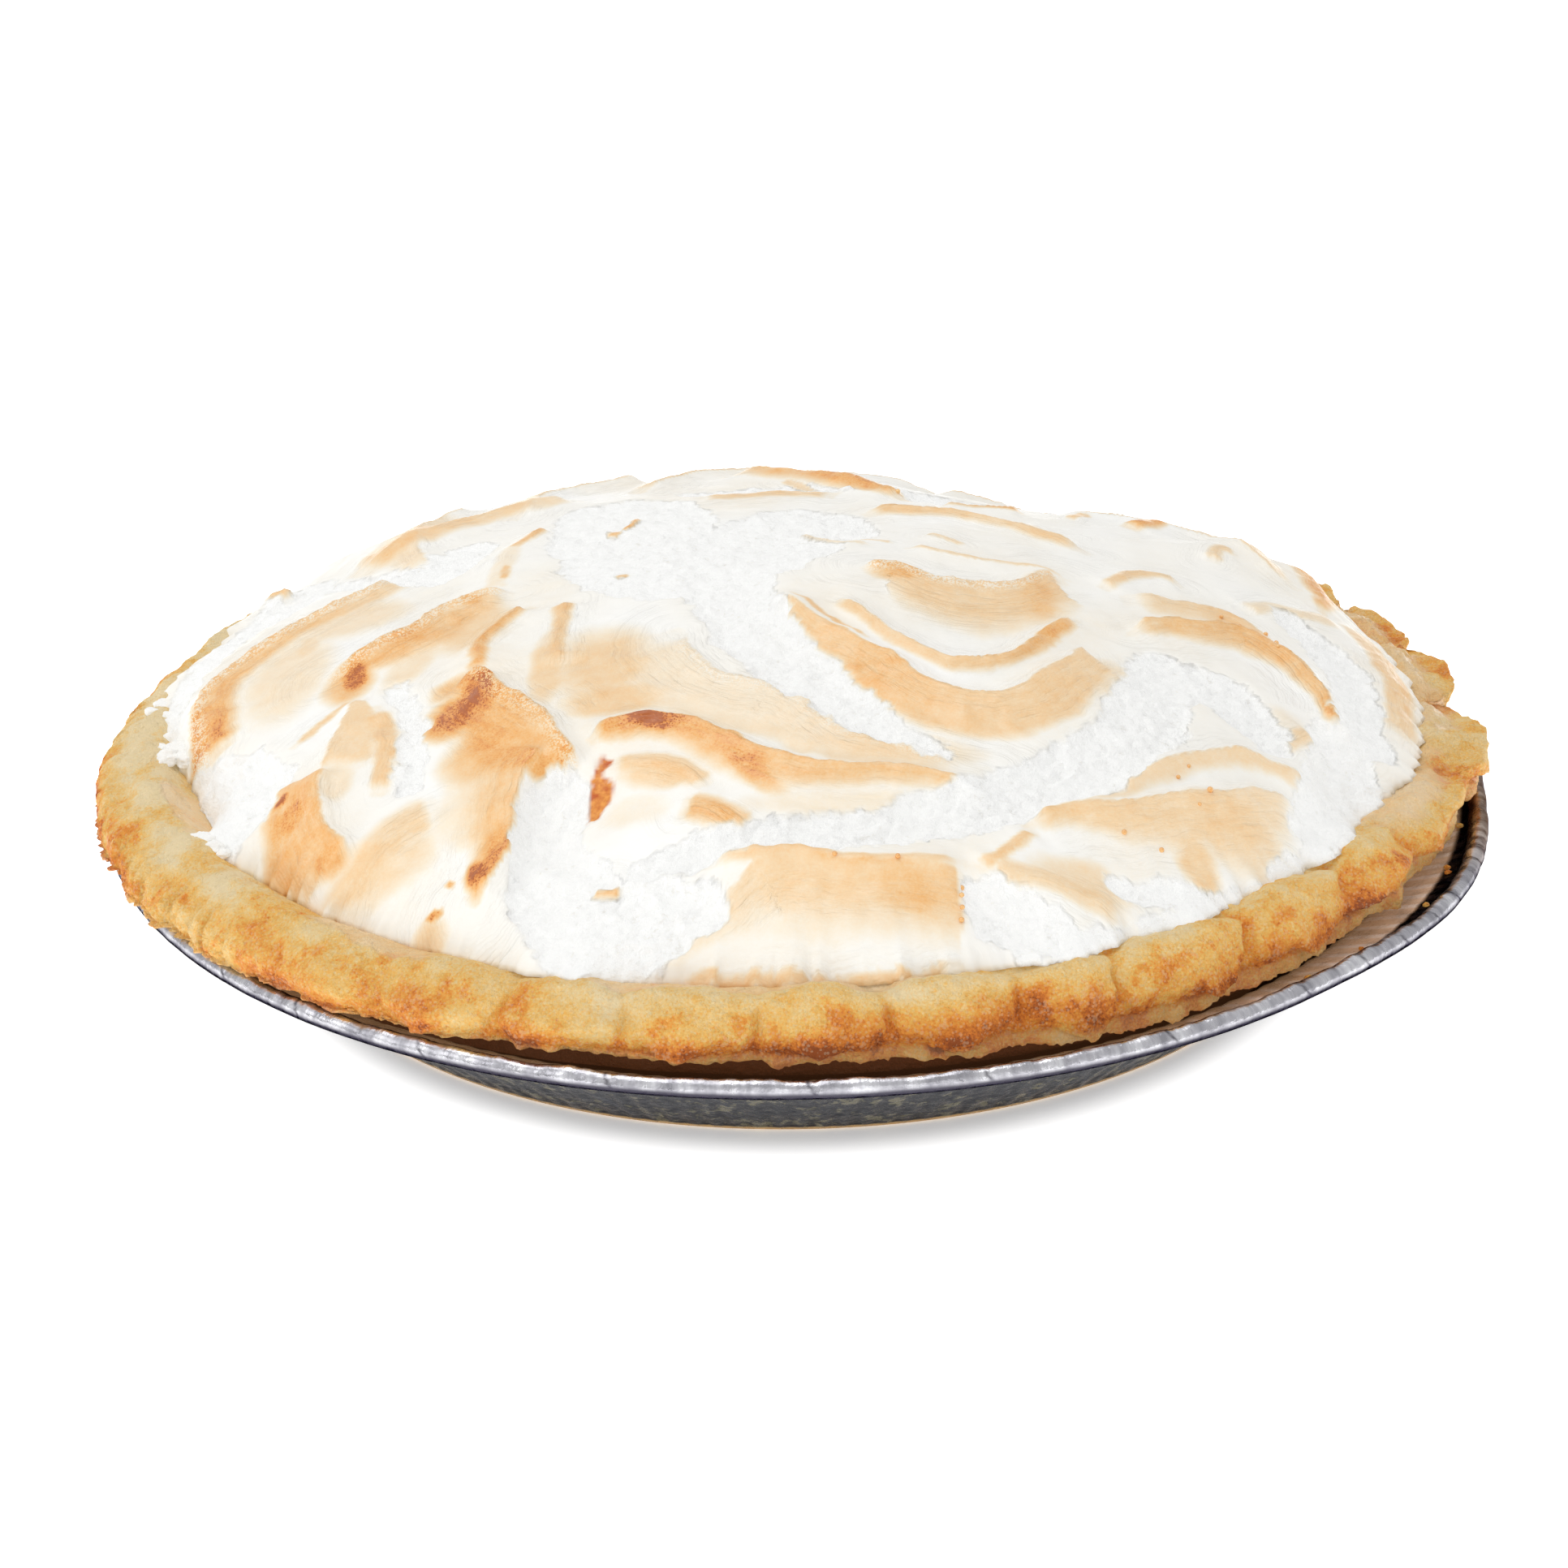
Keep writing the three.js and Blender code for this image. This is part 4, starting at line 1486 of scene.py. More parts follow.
FOLDS: tuple[Fold, ...] = (
    Fold("left_wall", ((-103.5, -25), (-106, -12), (-105, -2), (-98.5, 5), (-92, 9.5), (-86, 14), (-79, 19),
         (-72, 25), (-65, 33)), (9, 10, 10, 8, 7, 7, 8, 8, 6), (0.84, 0.74, 0.66, 0.62, 0.58, 0.54, 0.5,
         0.42, 0.32), hold=0.55, rise=2.4, back=5, ends=(0.03, 0.15), frost=0.7),
    Fold("left_band", ((-81, -16), (-73, -11), (-66, -5.5), (-62, 0), (-56, 3.5), (-49, 4)), (4, 10, 13, 13,
         12, 8), (0.7, 0.68, 0.62, 0.56, 0.52, 0.42), hold=0.5, rise=2.6, back=5, frost=0.6),
    Fold("left_lip_path", ((-53, 5), (-52, 15), (-50, 27)), (3,), (0.25,), Side.BOTH, rise=1.6),
    Fold("left_lip", ((-50, 24), (-48, 28), (-45, 34)), (1.8,), (0.62,), Side.BOTH, rise=1.8, islet=True),
    Fold("lip_bit", ((-51.5, 9), (-51, 15)), (1.2,), (0.6,), Side.BOTH, islet=True),
    Fold("top_bit", ((-33, 27), (-32, 30)), (1.2,), (0.66,), Side.BOTH, rise=0.8, islet=True),
    Fold("top_bit_arm", ((-31, 30.5), (-29.5, 33), (-28, 37)), (0.9,), (0.7,), Side.BOTH, rise=0.6,
         islet=True),
    Fold("top_dot", ((-31, 4.5), (-29, 4)), (1,), (0.62,), Side.BOTH, islet=True),
    Fold("left_thread", ((-76, -26), (-80, -30), (-85, -35)), (1.1,), (0.5,), Side.BOTH, islet=True),
    Fold("left_strip", ((-75, -27), (-76, -33), (-78, -40), (-79.5, -48)), (2, 5, 8, 10), (0.44,),
         Side.LEFT, hold=0.8, rise=1.5, back=3),
    Fold("left_strip_edge", ((-72, -32), (-69.5, -41), (-68, -50), (-68.5, -58)), (2.8,), (0.54,),
         Side.BOTH, rise=0.8),
    Fold("left_lobe", ((-79, -48), (-80, -54), (-79, -60), (-76, -66), (-73, -71)), (9, 9.5, 10, 9, 6),
         (0.6, 0.66, 0.66, 0.62, 0.5), hold=0.75, rise=3, back=5, ends=(0.03, 0.12)),
    Fold("left_arc", ((-59, -66), (-66, -69), (-71, -74), (-74, -80)), (6,), (0.44,), Side.BOTH),
    Fold("middle_arm", ((-46, -4), (-50, -10), (-53, -17), (-54, -24), (-54, -31)), (2.2,), (0.6, 0.65,
         0.68, 0.7, 0.74), Side.BOTH, rise=2.2),
    Fold("middle_block", ((-55, -30), (-51.5, -35), (-49, -40), (-45, -46), (-41, -53), (-38, -59),
         (-35.5, -62.5)), (5, 8.5, 10.5, 14.5, 17, 13, 3), (0.7, 0.76, 0.78, 0.7, 0.64, 0.68, 0.9),
         hold=0.6, rise=3.4, back=5, ends=(0.05, 0.06), frost=0.5),
    Fold("middle_foot", ((-42, -60), (-44.5, -64), (-45.5, -69), (-46, -74), (-46.5, -79), (-48.5, -84),
         (-51.5, -88)), (14, 14, 13, 12, 8, 5, 4), (0.62, 0.6, 0.58, 0.62, 0.8, 0.9, 0.85), hold=0.2,
         rise=3, back=4, ends=(0.03, 0.08)),
    Fold("sweep_tip", ((-39.5, -6), (-40.5, -14), (-40.5, -22), (-40.5, -32)), (2.4,), (0.62, 0.56, 0.5,
         0.45), Side.BOTH, rise=1.6, islet=True),
    Fold("pale_sweep", ((-19, -24), (-17, -34), (-11, -41), (-3, -44), (3, -50), (9, -56), (19, -60),
         (33, -64)), (10, 14, 16, 17, 13, 11, 8, 6), (0.34, 0.3, 0.3, 0.3, 0.34, 0.36, 0.34, 0.32),
         hold=0.75, rise=1.4, back=3, frost=0.4),
    Fold("front_sweep", ((-34, -57), (-29, -54.6), (-24, -53.6), (-19, -54.2), (-14, -57.2), (-9, -61),
         (-4, -64.8), (3, -67), (14, -67.8), (25, -69), (33, -70.5)), (3, 4.5, 6, 7, 8, 8.5, 8, 6, 4.5, 3.6,
         3), (0.7, 0.79, 0.79, 0.75, 0.72, 0.7, 0.66, 0.62, 0.58, 0.54, 0.48), rise=2.6, back=7, edge=1.2,
         ends=(0.05, 0.06)),
    Fold("outer_bowl", ((-5, -17), (0, -19.5), (5, -26.5), (10, -30.5), (14, -34), (18, -38.5), (22, -43),
         (28, -46), (34, -46), (40, -42), (44, -36), (48, -30), (50, -25)), (2.6, 3.4, 4.4, 6, 8, 10, 11,
         11, 10, 9.5, 9, 7, 5), (0.55, 0.56, 0.56, 0.58, 0.62, 0.66, 0.6, 0.52, 0.5, 0.52, 0.5, 0.46, 0.4),
         hold=0.72, rise=2.8, back=8, ends=(0.04, 0.08)),
    Fold("bowl_thread", ((0, -15), (4, -20), (8, -25.5), (12, -29.5)), (1.1,), (0.62,), Side.BOTH, rise=0.8,
         islet=True),
    Fold("inner_bowl", ((6, -16), (9, -18.5), (13, -23), (17, -28), (22, -33), (28, -35.5), (34, -34.5),
         (39, -30), (43, -23), (47, -16), (49, -12)), (1.8, 2.2, 2.6, 2.8, 3, 3, 3, 3, 3, 2.6, 2), (0.46,
         0.5, 0.52, 0.52, 0.52, 0.53, 0.55, 0.62, 0.72, 0.7, 0.56), hold=0.4, rise=2.2, back=7),
    Fold("bowl_floor", ((13, -2), (18, -0.5), (21, -2.5), (25, -4), (31, -4), (36, -3), (40, 0), (44, 5),
         (48, 6)), (3, 7, 12, 18, 23, 21, 16, 12, 6), (0.55, 0.58, 0.52, 0.48, 0.46, 0.48, 0.52, 0.54, 0.5),
         hold=0.4, rise=1.4, back=3, ends=(0.04, 0.08), frost=0.7),
    Fold("crinkle", ((20, 11), (25, 9), (32, 7.5), (38, 7), (44, 7.5), (50, 5)), (1,), (0.4,), Side.BOTH,
         rise=1.2, islet=True),
    Fold("wisp_long", ((2, 24), (7, 15), (14, 10)), (1.2,), (0.3,), Side.BOTH, rise=0.8, islet=True),
    Fold("wisp_short", ((12, 17), (18, 14)), (1.4,), (0.42,), Side.BOTH, islet=True),
    Fold("wisp_high", ((24, 21), (28, 18), (31, 15)), (1.2,), (0.38,), Side.BOTH, rise=0.8, islet=True),
    Fold("right_upper", ((58, 2), (66, 3), (72, 4), (76, 5), (80, 3), (83, -1), (86, -5)), (8, 8, 8, 6, 5,
         4, 4), (0.36, 0.42, 0.46, 0.54, 0.54, 0.5, 0.48), hold=0.4, rise=1.6),
    Fold("right_lower", ((58, -14), (64, -10), (70, -7), (75, -4), (80, -3), (85, -7), (89, -13), (92, -20),
         (93, -27), (92.5, -30)), (2, 4, 7, 10, 11, 9, 6, 4, 3, 2), (0.5, 0.54, 0.58, 0.62, 0.64, 0.66,
         0.64, 0.64, 0.72, 0.78), hold=0.4, rise=2.8, back=7, ends=(0.08, 0.06)),
    Fold("right_curl", ((55, 4), (58, 8), (61, 12), (65, 14.5), (70, 13)), (2.2,), (0.46, 0.52, 0.54, 0.45,
         0.35), Side.BOTH, rise=1.6),
    Fold("right_bit", ((77, 29), (79, 34), (82, 35)), (2,), (0.42,), Side.BOTH, rise=1.2),
    Fold("right_back", ((81, 10), (86, 14), (93, 18), (100, 21)), (3,), (0.32,), Side.BOTH, rise=1.2),
    Fold("right_wall", ((102, 27), (104.5, 17), (106, 8), (107, -2), (106.5, -12), (104.5, -24)), (3.6,),
         (0.36, 0.48, 0.54, 0.54, 0.48, 0.34), Side.BOTH, hold=0.5, rise=1),
    Fold("right_strip", ((93, 60), (96.5, 47), (98, 36), (97, 24)), (5.5, 5.2, 4.2, 1.8), (0.72,),
         Side.BOTH, hold=0.2, rise=2),
    Fold("near_right", ((36, -77), (42, -74), (49, -71), (56, -68.5), (62, -66), (70, -62), (77, -58),
         (84, -56)), (2.5, 4, 7, 11, 14, 14, 12, 8), (0.54, 0.52, 0.48, 0.47, 0.46, 0.43, 0.37, 0.28),
         rise=2.6),
    Fold("near_right_top", ((43, -72), (51, -66), (58, -60.5), (64, -56), (70, -51.5), (77, -48.5),
         (84, -49), (89, -54)), (4,), (0.3, 0.38, 0.42, 0.42, 0.42, 0.4, 0.36), hold=0.4, rise=2),
    Fold("small_edge", ((82, -41), (85, -37), (88, -33)), (2.4,), (0.42,), Side.BOTH, rise=1),
    Fold("near_crook", ((29, -88), (33, -85), (36, -82), (38, -79)), (1.7,), (0.55,), Side.BOTH, rise=1.6),
    Fold("near_crook_arm", ((31, -87), (35, -88.5), (40, -88.5), (46, -89.5), (52, -91)), (3,), (0.42,),
         Side.BOTH, rise=1.4),
    Fold("near_crest", ((-15, -88), (-7, -88), (0, -87.5), (5, -88.5), (12, -89), (20, -88.5), (28, -87.5)),
         (1.8,), (0.42, 0.5, 0.56, 0.52, 0.5, 0.5, 0.48), Side.BOTH, rise=2.6),
    Fold("near_face", ((-24, -101), (-15, -97), (-9, -91.5), (-5, -89), (5, -89), (20, -89.5), (26, -89.5)),
         (3, 7, 11, 14, 15, 15, 14), (0.26, 0.34, 0.42, 0.47, 0.49, 0.53, 0.57), hold=0.25, edge=0.5,
         ends=(0.05, 0.02)),
    Fold("near_left_top", ((-30, -63), (-24, -64), (-18, -66.5), (-15, -70)), (3.4,), (0.48,), Side.BOTH,
         rise=0.8),
    Fold("near_left_tip", ((-18, -75.5), (-13, -77), (-8.5, -81)), (4.2,), (0.6,), Side.BOTH, rise=0.8),
    Fold("weep_band", ((-20, -103.7), (-11, -104.8), (2, -106), (15, -105.8), (26, -103.3)), (1.1,),
         (0.52,), Side.BOTH, islet=True),
    Fold("near_left_lip", ((-33, -89), (-28, -90)), (1.3,), (0.6,), Side.BOTH, rise=0.8, islet=True),
    Fold("far_ridge", ((-12, 80), (0, 72), (9, 64), (15, 57), (21, 50)), (5, 6, 6, 5, 3), (0.55, 0.66, 0.76,
         0.76, 0.66), Side.BOTH, rise=2.6, islet=True),
    Fold("far_line", ((-2, 66), (4, 58)), (1.6,), (0.42,), Side.BOTH, islet=True),
    Fold("far_crinkle", ((-17, 53), (-5, 54), (8, 51)), (4.4,), (0.5,), Side.BOTH, rise=0.8, islet=True),
    Fold("far_band", ((13, 37), (18, 39), (25, 37.5), (31, 36), (38, 31.5), (44, 28), (48, 26), (54, 23)),
         (4,), (0.5, 0.56, 0.54, 0.52, 0.45, 0.5, 0.52, 0.4), rise=1.8),
    Fold("far_band_faint", ((38, 36), (50, 30)), (2.6,), (0.28,), Side.BOTH),
    Fold("far_bit_middle", ((28, 45), (36, 45), (43, 44)), (1.6,), (0.4, 0.6, 0.8), Side.BOTH, rise=1.4,
         islet=True),
    Fold("far_bit_right", ((52, 45), (55, 50)), (1.6,), (0.55,), Side.BOTH, rise=1),
    Fold("far_bit_end", ((63, 44), (67, 48), (71, 55)), (3.2,), (0.76,), Side.BOTH, rise=1.6),
    Fold("back_left", ((-80, 42), (-70, 50), (-56, 58), (-40, 64)), (7,), (0.55, 0.55, 0.45, 0.32),
         Side.BOTH, rise=2.2),
    Fold("back_left_peak", ((-103, 57), (-99, 50), (-94, 44)), (1.6,), (0.8, 0.76, 0.5), Side.BOTH,
         rise=3.6, back=8, islet=True),
)

SPOTS: tuple[Spot, ...] = tuple(Spot(*row) for row in (
    ((-22.5, -54.8), (9, 2.8), 0.88, -4), ((-52.5, -39), (4.6, 8), 0.85, 20), ((-89, -9), (11, 22), 0.32),
    ((-86, 0), (3, 7), 0.36), ((-79, 8), (15, 11), 0.33), ((-76, -19), (3.6, 5.8), 0.85),
    ((-77, -20), (6, 9), 0.64), ((-67, -10), (7, 4.5), 0.62, 30), ((-57, 1), (4, 3), 0.6),
    ((-56, -9), (10, 16), 0.44), ((-66, -18), (6, 13), 0.34, -18), ((-77, -52), (5, 9), 0.3),
    ((-86, -51), (2, 2), 1), ((-81.5, -49), (1.6, 1.4), 0.8), ((-84, -57), (4.5, 5), 0.7),
    ((-76.5, -70), (5, 3.4), 0.66, -40), ((-67, -75), (12, 9), 0.4), ((-57.5, -33), (5.5, 5), 0.62),
    ((-57.5, -42.5), (7.2, 8), 0.86), ((-52, -56), (9, 11), 0.56), ((-54, -69), (8, 11), 0.25),
    ((-51.5, -84), (2.4, 4.4), 0.9), ((-58, -87.5), (1.6, 1.2), 0.8), ((-56, -83), (1.1, 1.1), 0.75),
    ((-59, -91), (4, 4.5), 0.45), ((-32, -33), (12, 18), 0.48), ((-30, -46), (12, 8), 0.5),
    ((-42, -32), (4.5, 18), 0.46), ((16, -60.5), (19, 6), 0.38), ((-7.5, -67), (10, 3), 0.72, -46),
    ((10, -75), (28, 5), 0.24), ((54, -34), (6, 12), 0.32), ((19, -4), (7, 5), 0.6),
    ((43, -6), (5, 13), 0.54), ((65, -77), (5, 6.5), 0.48), ((72, -68), (12, 9), 0.4),
    ((82, -33), (8, 7), 0.2), ((46, -86), (11, 6), 0.38), ((77, 1), (4, 3), 0.5), ((18, -94), (8, 5), 0.5),
    ((-22, -67), (9, 4.4), 0.5, -12), ((-13, -78), (7, 3.6), 0.56, -14), ((-26, -74), (8, 5), 0.2),
    ((-70, 58), (13, 12), 0.32), ((3, -98), (24, 6), 0.22),
))

TEARS: tuple[Tear, ...] = (
    Tear(((-30, 42), (-28, 24), (-22, 7), (-8, 10), (2, 26)), (14, 16, 16, 15, 14), 0.6),
    Tear(((-12, -4), (-7, -24), (4, -43), (15, -56), (25, -61)), (8, 7.5, 6.5, 4, 2), 1.2),
    Tear(((63, -26), (59, -44), (47, -61), (24, -76), (-5, -83), (-24, -86)), (6, 7, 7, 5, 4, 3)),
    Tear(((-39, -68), (-40, -80), (-33, -95), (-16, -95)), (5, 6.5, 10, 5), 1.6),
    Tear(((-106, -27), (-97, -36), (-91, -44), (-101, -52)), (4, 8, 6, 8), 1.2),
    Tear(((-67, -27), (-64.6, -40), (-63.6, -58)), (2, 2.6, 2), 1.2),
    Tear(((93, -33), (93, -45), (87, -58)), (5, 8, 6), 1.2),
    Tear(((90, 12), (96, 2), (98, -12), (98, -28)), (4, 4, 4, 5)),
    Tear(((64, -22), (73, -29), (80, -39)), (4, 7, 4)),
    Tear(((-104, -33), (-110, -15), (-111, 0), (-107, 15), (-100, 30), (-92, 44)), (1.5, 2, 2.6, 4, 6, 7),
         0.6),
    Tear(((36, -100), (52, -94), (66, -85), (80, -73), (92, -56), (98, -44)), (2.2, 1.8, 2.2, 2.8, 3, 3),
         0.3),
    Tear(((31.5, -94), (42, -98)), (5, 4), 1.2),
    Tear(((52, -85), (62, -84), (73, -79)), (2, 3, 2)),
    Tear(((-18, 60), (10, 58), (36, 52)), (3, 4, 4), 0.6),
    Tear(((-84, 40), (-66, 22), (-60, 32)), (3, 5, 6), 0.6),
)

RIM_REACH: tuple[Place, ...] = (
    (-176, 1.3), (-171, -2.4), (-166, -4), (-160, -4.2), (-157, -2.7), (-154, 0.4), (-149, -0.6),
    (-145, -2.6), (-135, -1.7), (-127, -1.2), (-120, -1.4), (-114, 0.3), (-109, 2.4), (-104, -1.8),
    (-96, -2), (-89, -1.1), (-82, 0.2), (-72, 0.3), (-68, 2.6), (-66, 3.8), (-63, 1.6), (-60, 0.6),
    (-56, 2.2), (-53.6, 3.8), (-51, 1.2), (-47, 0), (-38, 1.1), (-30.6, 2), (-28, -1.1), (-24, -1.1),
    (-17, 1.7), (-5, 2), (10, 1.4), (30, 0.8), (38, 2.2), (50, 0.8), (65, 1.6), (80, 0.2), (96, 2.6),
    (108, 0.4), (121, 0), (135, 1.6), (145, 2), (150, 0.8), (153, 2), (156.5, 3.6), (160, 1.8), (165, 1.4),
    (168, 2.6), (172, 4), (177, 2.2),
)

BACK_RISE: tuple[Place, ...] = (
    (10, 0), (20, 1.6), (26, 4), (30, 2), (36, 1.4), (43, -1.4), (50, -4.8), (60, -5.8), (69, -6.2),
    (77, -1.8), (88, -1), (104, 0.9), (110, 2), (128, 2.2), (136, 1.9), (145, 2.4), (152, 0), (167, 0.8),
    (182, 0),
)

HOLLOWS: tuple[Hollow, ...] = (
    Hollow((-37, -74), 12, 2.2),
    Hollow((31, -18), 19, 2.0),
    Hollow((34, -98), 8, 1.4),
    Hollow((94, -40), 11, 1.6),
    Hollow((-66, -38), 8, 1.4),
    Hollow((-6, 20), 20, 1.2),
)


@dataclass
class Meringue:
    """The foam dome with its folds, toasted skin and torn places.

    Blend is the power by which crossing folds flow together. The rim's noise is read along a circle of the
    noise radius, so that it depends on the angle alone. The far way holds radii and turns of a far sweep's
    places, and the rim heights hold how far the rim lies outside its mean line and its height there.
    """

    outline: Outline
    blend: float = 3.0
    noise_radius: float = 108.0
    first_cuts: int = 17
    second_cuts: int = 9
    edge_height: float = 34.4
    dome: float = 28.5
    fullness: float = 1.8
    shoulder: float = 0.75
    bed: float = 31.4
    bed_margin: float = 4.6
    far_folds: int = 6
    far_first: float = 28.0
    far_span: float = 110.0
    far_way: tuple[Place, ...] = ((97.0, -9.5), (88.5, 4.8), (72.0, 19.0))
    rim_heights: tuple[Place, ...] = ((-4.6, 31.0), (-1.0, 33.4), (0.8, 34.3), (3.6, 34.7), (7.0, 34.0))
    rim_sunk: float = 0.5
    ragged_bearing: float = 176.0
    ragged_spread: float = 42.0
    stain: Course = Course(((-30.8, -62), (-32.4, -64.5), (-31.6, -67), (-32, -69.5), (-33.2, -72.5)), 4)
    stain_width: tuple[float, ...] = (1.3, 0.6, 2.1, 1.9, 0.7)
    points: Array = field(default_factory=lambda: np.empty((0, 3)))

    def disc(self) -> Piece:
        """Add a flat hexagon of even triangles, one unit from middle to corner.

        Returns:
            The new piece.
        """
        deselect()
        bpy.ops.mesh.primitive_circle_add(vertices=6, radius=1, fill_type="TRIFAN")
        obj = bpy.context.object
        obj.name = "meringue_dome"
        for cuts in (self.first_cuts, self.second_cuts):
            bpy.ops.object.mode_set(mode="EDIT")
            bpy.ops.mesh.select_all(action="SELECT")
            bpy.ops.mesh.subdivide(number_cuts=cuts)
            bpy.ops.object.mode_set(mode="OBJECT")
        return obj

    @staticmethod
    def spread(flat: Array) -> tuple[Array, Array]:
        """Turn places in the hexagon into places in a disc.

        Args:
            flat: Places in the hexagon, as rows of x and y with its corners at distance 1.

        Returns:
            The share of the way from the middle to the rim, and the angle in radians.
        """
        angle, length = polar(flat)
        turn = (angle - TAU / 12) % TAU
        sector = np.floor(turn / (TAU / 6) + 1e-6)
        local = turn - sector * TAU / 6
        second = length * np.sin(local) / math.sin(TAU / 6)
        first = length * np.cos(local) - second * math.cos(TAU / 6)
        share = first + second
        part = np.divide(second, share, out=np.zeros_like(share), where=share > 1e-6)
        return np.clip(share, 0.0, 1.0), (sector + part + 0.5) * TAU / 6

    def all_folds(self) -> list[Fold]:
        """Add the sweeps of the far side, which lean round one after another, to the named folds.

        Returns:
            All the folds.
        """
        far = []
        for k in range(self.far_folds):
            bearing = self.far_first + self.far_span * k / (self.far_folds - 1)
            stops = [(radius, math.radians(bearing + turn)) for radius, turn in self.far_way]
            way = tuple((radius * math.cos(angle), radius * math.sin(angle)) for radius, angle in stops)
            tone = 0.45 + 0.15 * math.sin(2.4 * k)
            far.append(Fold(f"far_sweep_{k}", way, (5, 9, 7), (tone,), Side.RIGHT, 0.3, 2.0, 6.0))
        return [*FOLDS, *far]

    @staticmethod
    def fold_fields(fold: Fold, plan: Array) -> tuple[Array, Array, Array, Array]:
        """Work out what one fold does at each place near it.

        Args:
            fold: The fold.
            plan: Places in plan, as rows of x and y.

        Returns:
            The fold's height, its toast, how far along the fold the place is and how far off its crest.
        """
        distance, along, beyond = Course(fold.way).measure(plan)
        if fold.side is Side.LEFT:
            distance = -distance
        share = along / (len(fold.way) - 1)
        width = evenly(share, fold.width)
        tone = evenly(share, fold.tone)
        ends = smooth(0.0, fold.ends[0], share + 1e-4) * smooth(0.0, fold.ends[1], 1 - share + 1e-4)
        blunt = smooth(1.6, 0.0, beyond)
        if fold.side is Side.BOTH:
            off = np.abs(distance) / width
            raised = np.clip(1 - np.abs(distance) / (width + fold.back), 0, 1) ** 2
            cover = 1 - smooth(fold.hold, 1.15, off)
        else:
            face = np.clip(1 - distance / (width + 2.0), 0, 1) ** 1.6
            back = np.clip(1 + distance / fold.back, 0, 1) ** 2
            raised = np.where(distance > 0, face, back)
            over = 1 - smooth(0.0, fold.edge, -distance)
            cover = np.where(distance > 0, 1 - smooth(fold.hold, 1.1, distance / width), over)
        height = fold.rise * raised * ends * blunt
        toast = tone * cover * np.maximum(ends, 0.35) * blunt
        return height, toast, along, distance

    def comb(self, plan: Array, bent: Array) -> dict[str, Array]:
        """Lay all the folds over the dome.

        Args:
            plan: Places in plan in millimetres.
            bent: The same places, a little moved so that the folds wander and fray.

        Returns:
            Arrays named height, toast, kept, frost, sweep and combed, the toast in fourth powers.
        """
        height, toast, kept, frost = np.zeros((4, len(plan)))
        best, second = np.ones((2, len(plan)))
        sweep = np.column_stack([plan / 9.0, np.zeros(len(plan))])
        for number, fold in enumerate(self.all_folds()):
            way = np.array(fold.way)
            room = max(max(fold.width), fold.back) + 4.0
            near = np.all((bent > way.min(0) - room) & (bent < way.max(0) + room), axis=1)
            log.debug("%s: %d places", fold.name, near.sum())
            raised, tone, along, distance = self.fold_fields(fold, bent[near])
            height[near] += raised**self.blend
            toast[near] += tone**4
            if fold.frost:
                crest = smooth(3.0, 0.3, np.abs(distance - 0.8)) * smooth(0.1, 0.3, tone)
                frost[near] = np.maximum(frost[near], fold.frost * crest)
            if fold.islet:
                kept[near] = np.maximum(kept[near], smooth(0.1, 0.3, tone))
            closeness = np.abs(distance) / room
            picked = closeness < best[near]
            places = np.nonzero(near)[0][picked]
            second[near] = np.minimum(second[near], np.where(picked, best[near], closeness))
            length = np.hypot(*np.diff(way, axis=0).T).sum() / (len(way) - 1)
            best[places] = closeness[picked]
            sweep[places, 0] = along[picked] * length / 6.0
            sweep[places, 1] = distance[picked] / 0.9
            sweep[places, 2] = 3.7 * number
        combed = smooth(0.0, 0.25, second - best) * (1 - smooth(0.5, 1.0, best))
        return {"height": height ** (1 / self.blend), "toast": toast, "kept": kept, "frost": frost,
                "sweep": sweep, "combed": combed}

    @staticmethod
    def add_spots(bent: Array, toast: Array) -> None:
        """Add the soft ovals to the toast.

        Args:
            bent: Places in plan.
            toast: The toast in fourth powers, which is changed in place.
        """
        for spot in SPOTS:
            turn = math.radians(spot.turn)
            off = bent - np.array(spot.at)
            u = (off[:, 0] * math.cos(turn) + off[:, 1] * math.sin(turn)) / spot.size[0]
            v = (off[:, 1] * math.cos(turn) - off[:, 0] * math.sin(turn)) / spot.size[1]
            toast += (spot.tone * (1 - smooth(0.35, 1.1, np.hypot(u, v)))) ** 4

    @staticmethod
    def tear(plan: Array, jagged: Array, kept: Array) -> tuple[Array, Array]:
        """Tear the skin and press the hollows in.

        Args:
            plan: Places in plan in millimetres.
            jagged: The same places, moved so that the tears get jagged edges.
            kept: How far an islet keeps its skin.

        Returns:
            How far the skin is torn and how deep it is sunk.
        """
        torn, sunk = np.zeros((2, len(plan)))
        for tear in TEARS:
            distance, along, _ = Course(tear.way).measure(jagged)
            width = evenly(along / (len(tear.way) - 1), tear.width)
            inside = smooth(0.6, -0.6, np.abs(distance) - width) * (1 - kept)
            torn = np.maximum(torn, inside)
            sunk = np.maximum(sunk, tear.depth * smooth(1.0, -2.5, np.abs(distance) - width))
        for hollow in HOLLOWS:
            s = np.hypot(plan[:, 0] - hollow.at[0], plan[:, 1] - hollow.at[1]) / hollow.radius
            sunk += hollow.depth * np.clip(1 - s * s, 0, 1) ** 2
        return torn, sunk

